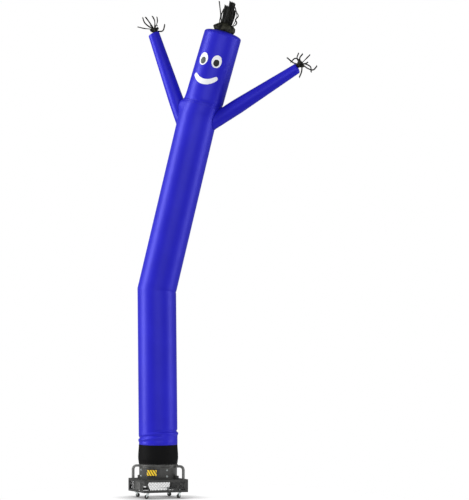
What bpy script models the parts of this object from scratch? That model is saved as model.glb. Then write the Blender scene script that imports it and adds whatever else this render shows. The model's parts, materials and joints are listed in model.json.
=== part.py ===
"""Inflatable air dancer: a kinked tube of thin cloth with two raised arms, a face and streamers, strapped
by its black sleeve to a round blower that stands on a square perforated base with four casters.

Metres, +Z up. The face looks along -Y, and the dancer leans to +X. The model is laid out about the drum's
axis and the floor, and at the end the whole stand is slid so that the origin is the middle of its box.
"""

import math
from collections import namedtuple

import bmesh
import bpy
from mathutils import Matrix, Vector

# Cloth
TUBE_RADIUS = 0.2285
CLOTH = 0.0015
PATCH = 0.0012
GAP = 0.0003
ARM_GAP = 0.0006
TUBE_SIDES = 32
ARM_SIDES = 16

# Axis of the tube, seen from the front: foot, kink, shoulders, neck and crown
FOOT = Vector((0.0, 0.0, 0.630))
KINK = Vector((-0.021, 0.0, 2.442))
SHOULDER = Vector((0.486, 0.0, 4.500))
NECK = Vector((0.552, 0.0, 4.645))
CROWN = Vector((0.7876, 0.0, 5.4375))
NECK_RADIUS = 0.2220
HEAD_RADIUS = 0.2300
CROWN_RADIUS = 0.2230
FRONT = math.radians(-90)
VIEWED_FROM = math.radians(-72.5)

# Arms
ARM_LENGTH = 1.176
ARM_START = -0.17
ARM_STRAIGHT = 0.35
HAND_RISE = 0.022
TUFT_SEAT = 0.020

# Blower
BASE_SIDE = 0.546
BASE_TURN = math.radians(-7)
BASE_LOW = 0.072
BASE_HIGH = 0.222
SHEET = 0.0025
DRUM_RADIUS = 0.2230
DRUM_LOW = 0.190
RING_LOW = 0.366
RING_HIGH = 0.390
RING_RADIUS = 0.2335
COLLAR_RADIUS = 0.2250
COLLAR_HIGH = 0.454
RIM_HIGH = 0.475
RIM_RADIUS = 0.2305
HANDLE_REACH = 0.325
HANDLE_HEIGHT = 0.370
HANDLE_WIDTH = 0.028
HANDLE_BEND = 0.045

# Casters
CASTER_REACH = 0.280
GUSSET_LOW = 0.094
WHEEL_RADIUS = 0.025
WHEEL_SIDES = 18
WHEEL_WIDTH = 0.020
AXLE_RADIUS = 0.004
TRAIL = 0.018
AXLE_HEIGHT = WHEEL_RADIUS * math.cos(math.pi / WHEEL_SIDES)

Ring = namedtuple("Ring", "centre tilt radius")
Turn = namedtuple("Turn", "radius height")


def clear_scene():
    for obj in list(bpy.data.objects):
        bpy.data.objects.remove(obj, do_unlink=True)


def new_collection(name):
    collection = bpy.data.collections.new(name)
    bpy.context.scene.collection.children.link(collection)
    return collection


def make_material(name, colour, roughness, metallic=0.0):
    material = bpy.data.materials.new(name)
    material.use_nodes = True
    shader = material.node_tree.nodes["Principled BSDF"]
    shader.inputs["Base Color"].default_value = (*colour, 1.0)
    shader.inputs["Roughness"].default_value = roughness
    shader.inputs["Metallic"].default_value = metallic
    material.diffuse_color = (*colour, 1.0)
    return material


clear_scene()
DANCER = new_collection("air_dancer")
CUTTERS = new_collection("cutters")
STAND = bpy.data.objects.new("stand", None)
DANCER.objects.link(STAND)

BLUE_NYLON = make_material("blue_nylon", (0.045, 0.03, 0.62), 0.45)
BLACK_NYLON = make_material("black_nylon", (0.006, 0.006, 0.006), 0.6)
BLACK_MESH = make_material("black_mesh", (0.012, 0.013, 0.01), 0.7)
WHITE_PATCH = make_material("white_patch", (0.85, 0.85, 0.85), 0.6)
BLACK_PATCH = make_material("black_patch", (0.01, 0.01, 0.01), 0.6)
GREY_STEEL = make_material("grey_steel", (0.07, 0.07, 0.068), 0.45, 0.6)
BLACK_STEEL = make_material("black_steel", (0.012, 0.012, 0.012), 0.5, 0.3)
ZINC = make_material("zinc", (0.6, 0.62, 0.6), 0.3, 1.0)
PLATE = make_material("plate", (0.015, 0.015, 0.018), 0.4)
TYRE = make_material("tyre", (0.02, 0.02, 0.02), 0.7)


def add_object(name, data, material, parent=None):
    obj = bpy.data.objects.new(name, data)
    data.materials.append(material)
    DANCER.objects.link(obj)
    obj.parent = parent or STAND
    return obj


def as_cutter(obj):
    """Takes a finished object out of the part and keeps it as a tool for a Boolean."""
    DANCER.objects.unlink(obj)
    CUTTERS.objects.link(obj)
    obj.hide_render = True
    obj.display_type = "WIRE"
    return obj


def boolean(obj, tool, operation):
    modifier = obj.modifiers.new(f"{operation.title()} {tool.name}", "BOOLEAN")
    modifier.operation = operation
    modifier.object = tool


def smooth(obj, angle=40):
    obj.data.shade_smooth()
    obj.data.set_sharp_from_angle(angle=math.radians(angle))


def mesh_of(name, bm):
    mesh = bpy.data.meshes.new(name)
    bm.to_mesh(mesh)
    bm.free()
    return mesh


def rolled(name, columns, rows, place, material, wall=0.0, side=-1.0, split=False):
    """A grid whose points place(u, v) rolls into a tube, a cap or a patch, with a wall if one is given.

    With split, its faces are cut in two along the same diagonal, so that two tubes nest without touching.
    """
    bm = bmesh.new()
    bmesh.ops.create_grid(bm, x_segments=columns, y_segments=rows, size=0.5)
    for vert in bm.verts:
        vert.co = place(vert.co.x + 0.5, vert.co.y + 0.5)
    bmesh.ops.remove_doubles(bm, verts=bm.verts, dist=0.00002)
    if split:
        bmesh.ops.triangulate(bm, faces=bm.faces, quad_method="FIXED")
    obj = add_object(name, mesh_of(name, bm), material)
    smooth(obj)
    if wall:
        solidify = obj.modifiers.new("Wall", "SOLIDIFY")
        solidify.thickness = wall
        solidify.offset = side
        solidify.use_even_offset = True
    return obj


def turned(name, profile, sides, material, closed=False):
    """A turned piece: its profile runs down the outer side and is spun about the local Z axis."""
    bm = bmesh.new()
    verts = [bm.verts.new((turn.radius, 0.0, turn.height)) for turn in profile]
    for first, second in zip(verts, verts[1:]):
        bm.edges.new((first, second))
    if closed:
        bm.edges.new((verts[-1], verts[0]))
    obj = add_object(name, mesh_of(name, bm), material)
    screw = obj.modifiers.new("Spin", "SCREW")
    screw.steps = sides
    screw.render_steps = sides
    screw.use_merge_vertices = True
    screw.merge_threshold = 0.0001
    screw.use_smooth_shade = False
    return obj


def band(radius, low, high, wall):
    """Profile of a plain ring, to be spun."""
    inner = radius - wall
    return [Turn(inner, high), Turn(radius, high), Turn(radius, low), Turn(inner, low)]


def outlined(name, outlines, thickness, material, chamfer=0.0):
    """A flat outline, with its holes, as a filled 2D curve of this thickness about its own plane."""
    curve = bpy.data.curves.new(name, "CURVE")
    curve.dimensions = "2D"
    curve.fill_mode = "BOTH"
    curve.extrude = thickness / 2 - chamfer
    curve.bevel_depth = chamfer
    curve.bevel_resolution = 0
    curve.offset = -chamfer
    for outline in outlines:
        spline = curve.splines.new("POLY")
        spline.points.add(len(outline) - 1)
        for point, (x, y) in zip(spline.points, outline):
            point.co = (x, y, 0.0, 1.0)
        spline.use_cyclic_u = True
    return add_object(name, curve, material)


def mesh_from_curve(obj):
    """Turns a curve object into a closed mesh object in the same place."""
    bpy.context.view_layer.update()
    evaluated = obj.evaluated_get(bpy.context.evaluated_depsgraph_get())
    mesh = bpy.data.meshes.new_from_object(evaluated)
    bm = bmesh.new()
    bm.from_mesh(mesh)
    bmesh.ops.remove_doubles(bm, verts=bm.verts, dist=0.00001)
    bm.to_mesh(mesh)
    bm.free()
    name, material = obj.name, obj.data.materials[0]
    place = obj.matrix_world.copy()
    bpy.data.objects.remove(obj, do_unlink=True)
    mesh.materials.clear()
    solid = add_object(name, mesh, material)
    solid.matrix_world = place
    return solid


def box(name, size, centre, material):
    bm = bmesh.new()
    bmesh.ops.create_cube(bm, size=1.0)
    bmesh.ops.scale(bm, vec=size, verts=bm.verts)
    bmesh.ops.translate(bm, vec=centre, verts=bm.verts)
    return add_object(name, mesh_of(name, bm), material)


def cylinder(name, radius, depth, sides, material):
    """An upright cylinder about the local origin."""
    bm = bmesh.new()
    bmesh.ops.create_cone(
        bm, cap_ends=True, segments=sides, radius1=radius, radius2=radius, depth=depth
    )
    return add_object(name, mesh_of(name, bm), material)


def arc(centre_x, centre_y, radius_x, radius_y, start, end, steps):
    """Points of an elliptic arc, both ends included, with its angles in degrees."""
    points = []
    for step in range(steps + 1):
        angle = math.radians(start + (end - start) * step / steps)
        points.append((centre_x + radius_x * math.cos(angle), centre_y + radius_y * math.sin(angle)))
    return points


def polar(angle, radius, height=0.0):
    return Vector((radius * math.cos(angle), radius * math.sin(angle), height))


def bell(distance, width):
    """A smooth hump, 1 in the middle, that has died away at about twice its width."""
    return math.exp(-((distance / width) ** 2))


def wrapped(angle):
    """The same angle between -180 and 180 degrees."""
    return (angle + math.pi) % (2 * math.pi) - math.pi


# Creases over the sleeve: each runs round the tube from one heading to another, seen from the front
# view's middle heading, and climbs between its two heights
Crease = namedtuple("Crease", "from_heading to_heading from_height to_height width depth roll")
CREASES = (
    Crease(-120, 18, 0.690, 0.741, 0.013, 0.011, 0.007),
    Crease(-8, 120, 0.776, 0.784, 0.012, 0.010, 0.009),
    Crease(105, 215, 0.772, 0.704, 0.014, 0.009, 0.006),
    Crease(-60, 40, 0.667, 0.684, 0.012, 0.003, 0.002),
)
# Where the left arm drags the cloth out: how far, at what height and at what heading
SHOULDER_PULL = 0.042
PULL_HEIGHT = 4.585
PULL_HEADING = math.radians(196)


def seam_dip(angle):
    """The seam of sleeve and tube hangs a little lower at the front."""
    return -0.006 * (1 + math.cos(angle - VIEWED_FROM))


def crease_relief(angle, height):
    heading = math.degrees(wrapped(angle - VIEWED_FROM))
    relief = 0.0
    for crease in CREASES:
        for turn in (heading, heading + 360):
            share = (turn - crease.from_heading) / (crease.to_heading - crease.from_heading)
            if not -0.2 < share < 1.2:
                continue
            fade = min(1.0, max(0.0, (share + 0.2) / 0.3), max(0.0, (1.2 - share) / 0.3))
            line = crease.from_height + (crease.to_height - crease.from_height) * share
            relief -= crease.depth * fade * bell(height - line, crease.width)
            relief += crease.roll * fade * bell(height - line + 2.4 * crease.width, crease.width * 1.5)
    return relief


def body_relief(angle, height):
    """How far the cloth of the body stands off its plain tube."""
    drawn_in = -0.004 * bell(height - 0.651, 0.020) * (0.5 - 0.5 * math.sin(angle - VIEWED_FROM))
    pull = SHOULDER_PULL * bell(height - PULL_HEIGHT, 0.065) * bell(wrapped(angle - PULL_HEADING), 0.33)
    return crease_relief(angle, height) + drawn_in + pull


def ring_point(ring, angle, lift=0.0):
    """A point of a ring that faces along the tube: its plane is tipped about the Y axis."""
    height = ring.centre.z
    radius = ring.radius + body_relief(angle, height) + lift
    across = Vector((math.cos(ring.tilt), 0.0, -math.sin(ring.tilt)))
    point = ring.centre + across * (radius * math.cos(angle))
    point.y += radius * math.sin(angle)
    if height < FOOT.z + 0.004:
        point.z += seam_dip(angle)
    return point


def lean(start, end):
    return math.atan2(end.x - start.x, end.z - start.z)


def on_line(start, end, height):
    return start.lerp(end, (height - start.z) / (end.z - start.z))


LOWER_LEAN = lean(FOOT, KINK)
TORSO_LEAN = lean(KINK, SHOULDER)
HEAD_LEAN = lean(NECK, CROWN)
TRUNK_LOW = 4.160
CREASE_RINGS = (0.643, 0.659, 0.674, 0.689, 0.704, 0.719, 0.734, 0.749, 0.765, 0.779, 0.795, 0.820)


def body_rings():
    rings = [Ring(FOOT, 0.0, 0.2275)]
    for height in CREASE_RINGS:
        rings.append(Ring(on_line(FOOT, KINK, height), 0.0, TUBE_RADIUS))
    half = (TORSO_LEAN - LOWER_LEAN) / 2
    rings.append(Ring(KINK, LOWER_LEAN + half, TUBE_RADIUS / math.cos(half)))
    rings.append(Ring(on_line(KINK, SHOULDER, TRUNK_LOW), TORSO_LEAN, TUBE_RADIUS))
    rings.append(Ring(SHOULDER, TORSO_LEAN, TUBE_RADIUS))
    rings.append(Ring(SHOULDER.lerp(NECK, 0.35), TORSO_LEAN, TUBE_RADIUS))
    rings.append(Ring(SHOULDER.lerp(NECK, 0.72), HEAD_LEAN, TUBE_RADIUS - 0.002))
    rings.append(Ring(NECK, HEAD_LEAN, NECK_RADIUS))
    return rings


HEAD_AXIS = (CROWN - NECK).normalized()
HEAD_HEIGHT = (CROWN - NECK).length
# Domed top panel, from the crown's edge to the vent under the hair
DOME = (
    Turn(0.2190, 0.014),
    Turn(0.2050, 0.028),
    Turn(0.1700, 0.041),
    Turn(0.1080, 0.0520),
)
HAIR_SEAT = 0.0512
HAIR_RADIUS = 0.116


def head_radius(height):
    """Radius of the head's side at a height over the neck: drawn in at the seam, tapered to the crown."""
    share = max(0.0, height) / HEAD_HEIGHT
    drawn = (HEAD_RADIUS - NECK_RADIUS) * bell(height, 0.030)
    return HEAD_RADIUS + (CROWN_RADIUS - HEAD_RADIUS) * share - drawn


def head_rings():
    rings = []
    for height in (0.0, 0.018, 0.042, 0.080, HEAD_HEIGHT):
        rings.append(Ring(NECK + HEAD_AXIS * height, HEAD_LEAN, head_radius(height)))
    for turn in DOME:
        rings.append(Ring(CROWN + HEAD_AXIS * turn.height, HEAD_LEAN, turn.radius))
    return rings


def ring_place(rings, lift=0.0, shift=0.0):
    """The place(u, v) of a tube through these rings."""

    def place(u, v):
        ring = rings[round(v * (len(rings) - 1))]
        return ring_point(ring, 2 * math.pi * u, lift) + HEAD_AXIS * shift

    return place


def closed_rings(rings):
    """The same rings with a point at either end, so that the tube through them is a solid."""
    low, high = rings[0], rings[-1]
    tiny = 1e-6
    return [Ring(low.centre, low.tilt, tiny), *rings, Ring(high.centre, high.tilt, tiny)]


ArmAim = namedtuple("ArmAim", "root along up root_radius hand_radius")


def arm_aim(root, along, root_radius, hand_radius):
    along = Vector(along).normalized()
    up = Vector((0, 0, 1)) - along * along.z
    return ArmAim(Vector(root), along, up.normalized(), root_radius, hand_radius)


RIGHT_ARM = arm_aim((0.670, 0.0, 4.422), (0.8634, 0.0, 0.5044), 0.0888, 0.0600)
LEFT_ARM = arm_aim((0.303, 0.070, 4.390), (-0.3286, 0.0, 0.9445), 0.0892, 0.0686)
# The closed end of an arm: share of the hand's radius, height past the end, share of the rise
HAND_END = ((1.0, 0.0, 0.0), (0.95, 0.008, 0.15), (0.76, 0.015, 0.5), (0.45, 0.019, 1.0), (0.0, 0.020, 1.0))


def arm_point(aim, distance, radius, angle, rise=0.0):
    """A point round an arm's axis, as a right-handed turn about it."""
    side = aim.along.cross(aim.up)
    spoke = aim.up * math.cos(angle) + side * math.sin(angle)
    return aim.root + aim.along * distance + spoke * radius + aim.up * rise


def arm_stations(aim):
    """(distance, radius, rise) along an arm, from inside the body to its tip."""
    stations = []
    for distance in (ARM_START, 0.02, ARM_STRAIGHT, 0.76):
        taper = max(0.0, distance - ARM_STRAIGHT) / (ARM_LENGTH - ARM_STRAIGHT)
        radius = aim.root_radius + (aim.hand_radius - aim.root_radius) * taper
        stations.append((distance, radius, 0.0))
    for share, height, rise in HAND_END:
        stations.append((ARM_LENGTH + height, aim.hand_radius * share, HAND_RISE * rise))
    return stations


def arm_place(aim, stations):
    def place(u, v):
        distance, radius, rise = stations[round(v * (len(stations) - 1))]
        return arm_point(aim, distance, radius, 2 * math.pi * u, rise)

    return place


def make_arm(name, aim, trunk):
    stations = arm_stations(aim)
    arm = rolled(name, ARM_SIDES, len(stations) - 1, arm_place(aim, stations), BLUE_NYLON, CLOTH)
    boolean(arm, trunk, "DIFFERENCE")
    inner = [(ARM_START, 1e-6, 0.0)]
    inner += [(distance, aim.root_radius - CLOTH, 0.0) for distance in (ARM_START, ARM_STRAIGHT)]
    inner.append((ARM_STRAIGHT, 1e-6, 0.0))
    bore = rolled(name + "_bore", ARM_SIDES, len(inner) - 1, arm_place(aim, inner), BLUE_NYLON)
    return as_cutter(bore)


def make_tubes():
    upper = [ring for ring in body_rings() if ring.centre.z > TRUNK_LOW - GAP]
    trunk_rings = closed_rings(upper + head_rings()[1:])
    trunk = rolled(
        "trunk", TUBE_SIDES, len(trunk_rings) - 1, ring_place(trunk_rings, lift=ARM_GAP), BLUE_NYLON,
        split=True,
    )
    as_cutter(trunk)
    bores = [make_arm("arm_left", LEFT_ARM, trunk), make_arm("arm_right", RIGHT_ARM, trunk)]
    rings = body_rings()
    body = rolled(
        "body_tube", TUBE_SIDES, len(rings) - 1, ring_place(rings), BLUE_NYLON, CLOTH, split=True
    )
    rings = head_rings()
    rolled(
        "head_tube", TUBE_SIDES, len(rings) - 1, ring_place(rings, shift=GAP), BLUE_NYLON, CLOTH, split=True
    )
    for bore in bores:
        boolean(body, bore, "DIFFERENCE")


def make_sleeve():
    """The black sleeve grips the collar, swells over its rim and is sewn to the tube."""
    rows = (
        Turn(COLLAR_RADIUS + GAP + CLOTH, RING_HIGH + 0.0095),
        Turn(COLLAR_RADIUS + 0.0032, 0.415),
        Turn(0.2342, 0.447),
        Turn(0.2353, 0.470),
        Turn(0.2342, 0.510),
        Turn(0.2295, 0.585),
        Turn(0.2275, FOOT.z - GAP),
    )

    def place(u, v):
        row = round(v * (len(rows) - 1))
        angle = 2 * math.pi * u
        dip = seam_dip(angle) if row == len(rows) - 1 else 0.0
        return polar(angle, rows[row].radius, rows[row].height + dip)

    rolled("cuff", TUBE_SIDES, len(rows) - 1, place, BLACK_NYLON, CLOTH)


# Face: arc to the viewer's right of the face's middle, height over the neck, half width and half height
Oval = namedtuple("Oval", "name across height half_width half_height layer material")
FACE_OVALS = (
    Oval("eye_left", -0.086, 0.500, 0.061, 0.076, 0, WHITE_PATCH),
    Oval("eye_right", 0.087, 0.503, 0.061, 0.076, 0, WHITE_PATCH),
    Oval("pupil_left", -0.085, 0.481, 0.0355, 0.0420, 1, BLACK_PATCH),
    Oval("pupil_right", 0.087, 0.486, 0.0355, 0.0420, 1, BLACK_PATCH),
)
# Widest step of a patch's rings, and how far the patches stand off the cloth
PATCH_STEP = 0.021
PATCH_REST = 0.0005
# Smile, a bowed band: the reach of its middle line to either side, that line's height, how far its ends
# rise, how much further the right one does and the left one doesn't, and half its width in the middle
# and at its round ends
MOUTH_REACH = 0.133
MOUTH_HEIGHT = 0.241
MOUTH_RISE = 0.060
MOUTH_TILT = 0.005
MOUTH_HALF = 0.033
MOUTH_END = 0.024


def on_face(across, height, layer):
    """A point on the front of the head, a whole number of patches above the cloth."""
    lift = PATCH_REST + layer * (PATCH + GAP)
    angle = FRONT + across / HEAD_RADIUS
    ring = Ring(NECK + HEAD_AXIS * height, HEAD_LEAN, head_radius(height))
    return ring_point(ring, angle, lift)


def make_oval(oval):
    def place(u, v):
        angle = 2 * math.pi * u
        across = oval.across + oval.half_width * (1 - v) * math.cos(angle)
        height = oval.height + oval.half_height * (1 - v) * math.sin(angle)
        return on_face(across, height, oval.layer)

    rings = math.ceil(oval.half_width / PATCH_STEP)
    rolled(oval.name, 20, rings, place, oval.material, PATCH, side=1.0)


def make_mouth():
    """The smile: a bowed band with round ends."""

    def place(u, v):
        run = (MOUTH_REACH + MOUTH_END) * (2 * u - 1 - math.cos(math.pi * u)) / 2
        past = max(0.0, abs(run) - MOUTH_REACH)
        share = max(-1.0, min(1.0, run / MOUTH_REACH))
        slope = (2 * MOUTH_RISE * share + MOUTH_TILT) / MOUTH_REACH
        ahead = Vector((1.0, slope)).normalized()
        middle = Vector((MOUTH_REACH * share, MOUTH_HEIGHT + MOUTH_RISE * share ** 2 + MOUTH_TILT * share))
        middle += ahead * math.copysign(past, run)
        half = MOUTH_HALF + (MOUTH_END - MOUTH_HALF) * share ** 2
        half *= math.sqrt(max(0.0, 1 - (past / MOUTH_END) ** 2))
        point = middle + Vector((-ahead.y, ahead.x)) * (half * (2 * v - 1))
        return on_face(point.x, point.y, 0)

    rolled("mouth", 22, 3, place, WHITE_PATCH, PATCH, side=1.0)


def curve_through(points, steps):
    """Points along one smooth curve through these, a Catmull-Rom spline."""
    padded = [points[0] * 2 - points[1], *points, points[-1] * 2 - points[-2]]
    smoothed = []
    for before, start, end, after in zip(padded, padded[1:], padded[2:], padded[3:]):
        for step in range(steps):
            t = step / steps
            smoothed.append(
                0.5 * (2 * start + (end - before) * t
                       + (2 * before - 5 * start + 4 * end - after) * t ** 2
                       + (3 * start - before - 3 * end + after) * t ** 3)
            )
    return [*smoothed, points[-1]]


def streamer(name, points, width, turn, steps=2):
    """A flat streamer, closed and four-sided, its breadth turned from the plane of the front view."""
    thick = 0.002
    line = curve_through(points, steps)

    bm = bmesh.new()
    rows = []
    for index, point in enumerate(line):
        ahead = line[min(index + 1, len(line) - 1)] - line[max(index - 1, 0)]
        ahead.normalize()
        flat = ahead.cross(Vector((0, 1, 0)))
        flat = flat.normalized() if flat.length > 0.05 else Vector((1, 0, 0))
        flat = Matrix.Rotation(math.radians(turn), 3, ahead) @ flat
        edge = ahead.cross(flat).normalized()
        corners = []
        for across, through in ((-1, -1), (1, -1), (1, 1), (-1, 1)):
            offset = flat * (across * width / 2) + edge * (through * thick / 2)
            corners.append(bm.verts.new(point + offset))
        rows.append(corners)
    for low, high in zip(rows, rows[1:]):
        for side in range(4):
            after = (side + 1) % 4
            bm.faces.new((low[side], low[after], high[after], high[side]))
    bm.faces.new(rows[0][::-1])
    bm.faces.new(rows[-1])
    bmesh.ops.recalc_face_normals(bm, faces=bm.faces)
    return as_cutter(add_object(name, mesh_of(name, bm), BLACK_MESH))


# Streamers of the head: width, turn of their breadth in degrees, and points over the middle of the cap's
# seat, each right, up and back
Lock = namedtuple("Lock", "width turn points")
HAIR = (
    Lock(0.052, 4, (
        (0.000, 0.085, -0.030), (0.020, 0.160, -0.034), (0.038, 0.235, -0.036),
        (0.056, 0.302, -0.036),
    )),
    Lock(0.056, -6, (
        (0.064, 0.070, -0.012), (0.078, 0.150, -0.014), (0.090, 0.240, -0.014),
        (0.112, 0.345, -0.012),
    )),
    Lock(0.050, 8, (
        (0.030, 0.085, 0.012), (0.046, 0.160, 0.010), (0.052, 0.230, 0.010),
        (0.064, 0.280, 0.012),
    )),
    Lock(0.046, -12, (
        (0.066, 0.070, 0.036), (0.088, 0.150, 0.040), (0.100, 0.215, 0.044),
        (0.104, 0.270, 0.046),
    )),
    Lock(0.044, 10, (
        (-0.010, 0.080, 0.040), (0.000, 0.150, 0.050), (0.008, 0.205, 0.056),
        (0.022, 0.255, 0.058),
    )),
    Lock(0.014, 0, (
        (-0.040, 0.075, 0.004), (-0.050, 0.128, -0.004), (-0.036, 0.190, -0.006),
        (-0.045, 0.280, -0.006), (-0.054, 0.358, -0.006),
    )),
    Lock(0.014, 0, (
        (-0.030, 0.075, 0.026), (-0.040, 0.140, 0.026), (-0.034, 0.205, 0.020),
        (-0.004, 0.266, 0.018),
    )),
    Lock(0.015, 30, (
        (0.080, 0.050, -0.040), (0.146, 0.060, -0.046), (0.170, 0.090, -0.046),
        (0.156, 0.126, -0.044), (0.188, 0.168, -0.042), (0.164, 0.218, -0.040),
        (0.146, 0.272, -0.036),
    )),
    Lock(0.013, 0, (
        (0.070, 0.060, -0.050), (0.122, 0.120, -0.062), (0.128, 0.190, -0.064),
        (0.134, 0.274, -0.056),
    )),
    Lock(0.015, 50, (
        (0.020, 0.070, 0.064), (0.012, 0.150, 0.092), (-0.012, 0.225, 0.106),
        (-0.020, 0.290, 0.104),
    )),
    Lock(0.015, -40, (
        (0.074, 0.055, 0.060), (0.110, 0.120, 0.094), (0.124, 0.185, 0.120),
        (0.116, 0.240, 0.140),
    )),
)
CAP_TAB = 0.020


def cap_spread(angle, rise):
    """The gathered cap is crumpled the more the higher it stands, with a tab drawn out at the left."""
    share = min(1.0, rise / 0.050)
    lobes = 0.045 * math.sin(5 * angle + 0.7) + 0.030 * math.sin(9 * angle + 2.0)
    return 1 + share * lobes


def make_hair():
    rows = (
        Turn(HAIR_RADIUS, 0.0),
        Turn(0.127, 0.020),
        Turn(0.130, 0.045),
        Turn(0.119, 0.068),
        Turn(0.094, 0.090),
        Turn(0.060, 0.107),
        Turn(0.024, 0.115),
        Turn(0.0, 0.1155),
    )
    seat = CROWN + HEAD_AXIS * (HAIR_SEAT + GAP)
    across = Vector((math.cos(HEAD_LEAN), 0.0, -math.sin(HEAD_LEAN)))

    def place(u, v):
        row = rows[round(v * (len(rows) - 1))]
        angle = 2 * math.pi * u
        radius = row.radius * cap_spread(angle, row.height)
        radius += CAP_TAB * bell(wrapped(angle - math.pi), 0.30) * bell(row.height - 0.045, 0.022)
        spoke = across * math.cos(angle) + Vector((0, 1, 0)) * math.sin(angle)
        return seat + spoke * radius + HEAD_AXIS * row.height

    hair = rolled("hair", 20, len(rows) - 1, place, BLACK_MESH, 0.002)
    for number, lock in enumerate(HAIR, 1):
        points = [seat + Vector((right, back, up)) for right, up, back in lock.points]
        boolean(hair, streamer(f"lock_{number}", points, lock.width, lock.turn), "UNION")


# Streamers of the hands, in the front view's plane: the tip right, up and back of the hub, and how far
# the middle is drawn off the straight line, right and up
Strand = namedtuple("Strand", "right up back bow_right bow_up turn")
RIGHT_STRANDS = (
    Strand(-0.162, 0.085, 0.050, 0.010, -0.028, 10),
    Strand(-0.031, 0.122, -0.030, -0.024, -0.008, 0),
    Strand(0.020, 0.122, 0.045, -0.022, -0.004, 25),
    Strand(0.101, 0.099, -0.010, 0.0, 0.0, -15),
    Strand(0.075, 0.008, -0.050, 0.0, -0.008, 20),
    Strand(0.181, -0.032, 0.012, 0.012, -0.046, 0),
    Strand(0.109, -0.114, -0.034, 0.026, 0.020, 10),
    Strand(-0.030, -0.173, -0.050, 0.014, 0.006, -10),
    Strand(-0.127, 0.012, -0.042, 0.006, 0.040, 30),
)
LEFT_STRANDS = (
    Strand(-0.137, 0.146, -0.022, -0.018, -0.012, 0),
    Strand(-0.104, 0.160, 0.040, 0.004, -0.004, 15),
    Strand(-0.022, 0.153, -0.046, 0.016, 0.0, 0),
    Strand(0.034, 0.150, 0.006, 0.014, -0.004, -20),
    Strand(0.129, 0.062, 0.052, 0.018, -0.044, 0),
    Strand(-0.199, 0.041, 0.020, 0.0, -0.006, 20),
    Strand(-0.040, 0.070, 0.080, -0.012, 0.008, 40),
    Strand(0.040, 0.052, 0.100, 0.0, 0.020, -30),
)


def front_view(right, up, back):
    """An offset in the front view's plane, which is turned from the XZ plane, as a vector."""
    turn = VIEWED_FROM - FRONT
    return Vector(((right - back * math.sin(turn)) / math.cos(turn), back, up))


def make_tassel(name, aim, strands, spread):
    """The gathered tuft at a hand: a narrow neck that opens into a crumpled frill."""
    rows = (
        Turn(1e-6, 0.0),
        Turn(0.024, 0.0),
        Turn(0.026, 0.014),
        Turn(0.034, 0.036),
        Turn(0.046, 0.058),
        Turn(0.048, 0.072),
        Turn(0.030, 0.080),
        Turn(1e-6, 0.082),
    )
    start = ARM_LENGTH + TUFT_SEAT + GAP

    def place(u, v):
        row = rows[round(v * (len(rows) - 1))]
        angle = 2 * math.pi * u
        frill = 1 + 0.16 * math.sin(5 * angle) * min(1.0, row.height / 0.05)
        return arm_point(aim, start + row.height * spread, row.radius * frill, angle, HAND_RISE)

    tassel = rolled(name, 12, len(rows) - 1, place, BLACK_MESH)
    hub = arm_point(aim, start + 0.060 * spread, 0.0, 0.0, HAND_RISE)
    for number, strand in enumerate(strands, 1):
        tip = front_view(strand.right, strand.up, strand.back)
        bow = front_view(strand.bow_right, strand.bow_up, 0.0)
        points = [hub + tip * 0.04, hub + tip * 0.33 + bow, hub + tip * 0.68 + bow, hub + tip]
        strip = streamer(f"{name}_strip_{number}", points, 0.016, strand.turn)
        boolean(tassel, strip, "UNION")


def make_drum():
    """Fan housing: drum, rolled ring, collar and rolled rim, one over the other."""
    pieces = (
        ("drum", band(DRUM_RADIUS, DRUM_LOW, RING_LOW, SHEET), GREY_STEEL),
        ("drum_ring", ring_profile(RING_RADIUS, RING_LOW + GAP, RING_HIGH, 0.016), GREY_STEEL),
        ("collar", band(COLLAR_RADIUS, RING_HIGH + GAP, COLLAR_HIGH, SHEET), BLACK_STEEL),
        ("rim", ring_profile(RIM_RADIUS, COLLAR_HIGH + GAP, RIM_HIGH, 0.012), GREY_STEEL),
    )
    for name, profile, material in pieces:
        smooth(turned(name, profile, TUBE_SIDES, material, closed=True))


def ring_profile(radius, low, high, wall):
    """Profile of a ring with its upper outer corner eased."""
    ease = 0.004
    inner = radius - wall
    return [
        Turn(inner, high),
        Turn(radius - ease, high),
        Turn(radius, high - ease),
        Turn(radius, low),
        Turn(inner, low),
    ]


def deck_outlines():
    half = BASE_SIDE / 2
    square = [(-half, -half), (half, -half), (half, half), (-half, half)]
    hole = []
    for side in range(TUBE_SIDES):
        # The hole follows the drum's sides, which don't turn with the base
        angle = 2 * math.pi * side / TUBE_SIDES - (BASE_TURN + math.radians(45))
        point = polar(angle, DRUM_RADIUS + GAP)
        hole.append((point.x, point.y))
    return [square, hole]


# Walls: share of the length at which the perforated fields start and end, arches and the inlet window
LENGTH = BASE_SIDE - SHEET - GAP
HEIGHT = BASE_HIGH - SHEET - GAP - BASE_LOW
ARCH_HALF = 0.048
ARCH_LOW = 0.025
ARCH_RISE = 0.058
CORNER_ARCH = 0.055
WINDOW = (0.207, 0.398, 0.022, 0.130)
DIAMOND_PITCH = (0.0285, 0.054)
DIAMOND_HALF = (0.011, 0.021)
FIELD_LOW = 0.048
FIELD_MARGIN = 0.030
# The open notch of the far left wall, from its lower edge up
NOTCH = ((0.037, 0.0), (0.012, 0.100), (0.300, 0.100), (0.290, 0.0))
# A wall's arch, the end with a half arch round the corner, and whether it is perforated, has the window
# or has the notch
Wall = namedtuple("Wall", "name arch corner_arch perforated window notch")
WALLS = (
    Wall("wall_a", 0.082, "end", True, True, False),
    Wall("wall_b", LENGTH - 0.082, "start", True, False, False),
    Wall("wall_c", None, None, False, False, False),
    Wall("wall_d", None, None, True, False, True),
)


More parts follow.
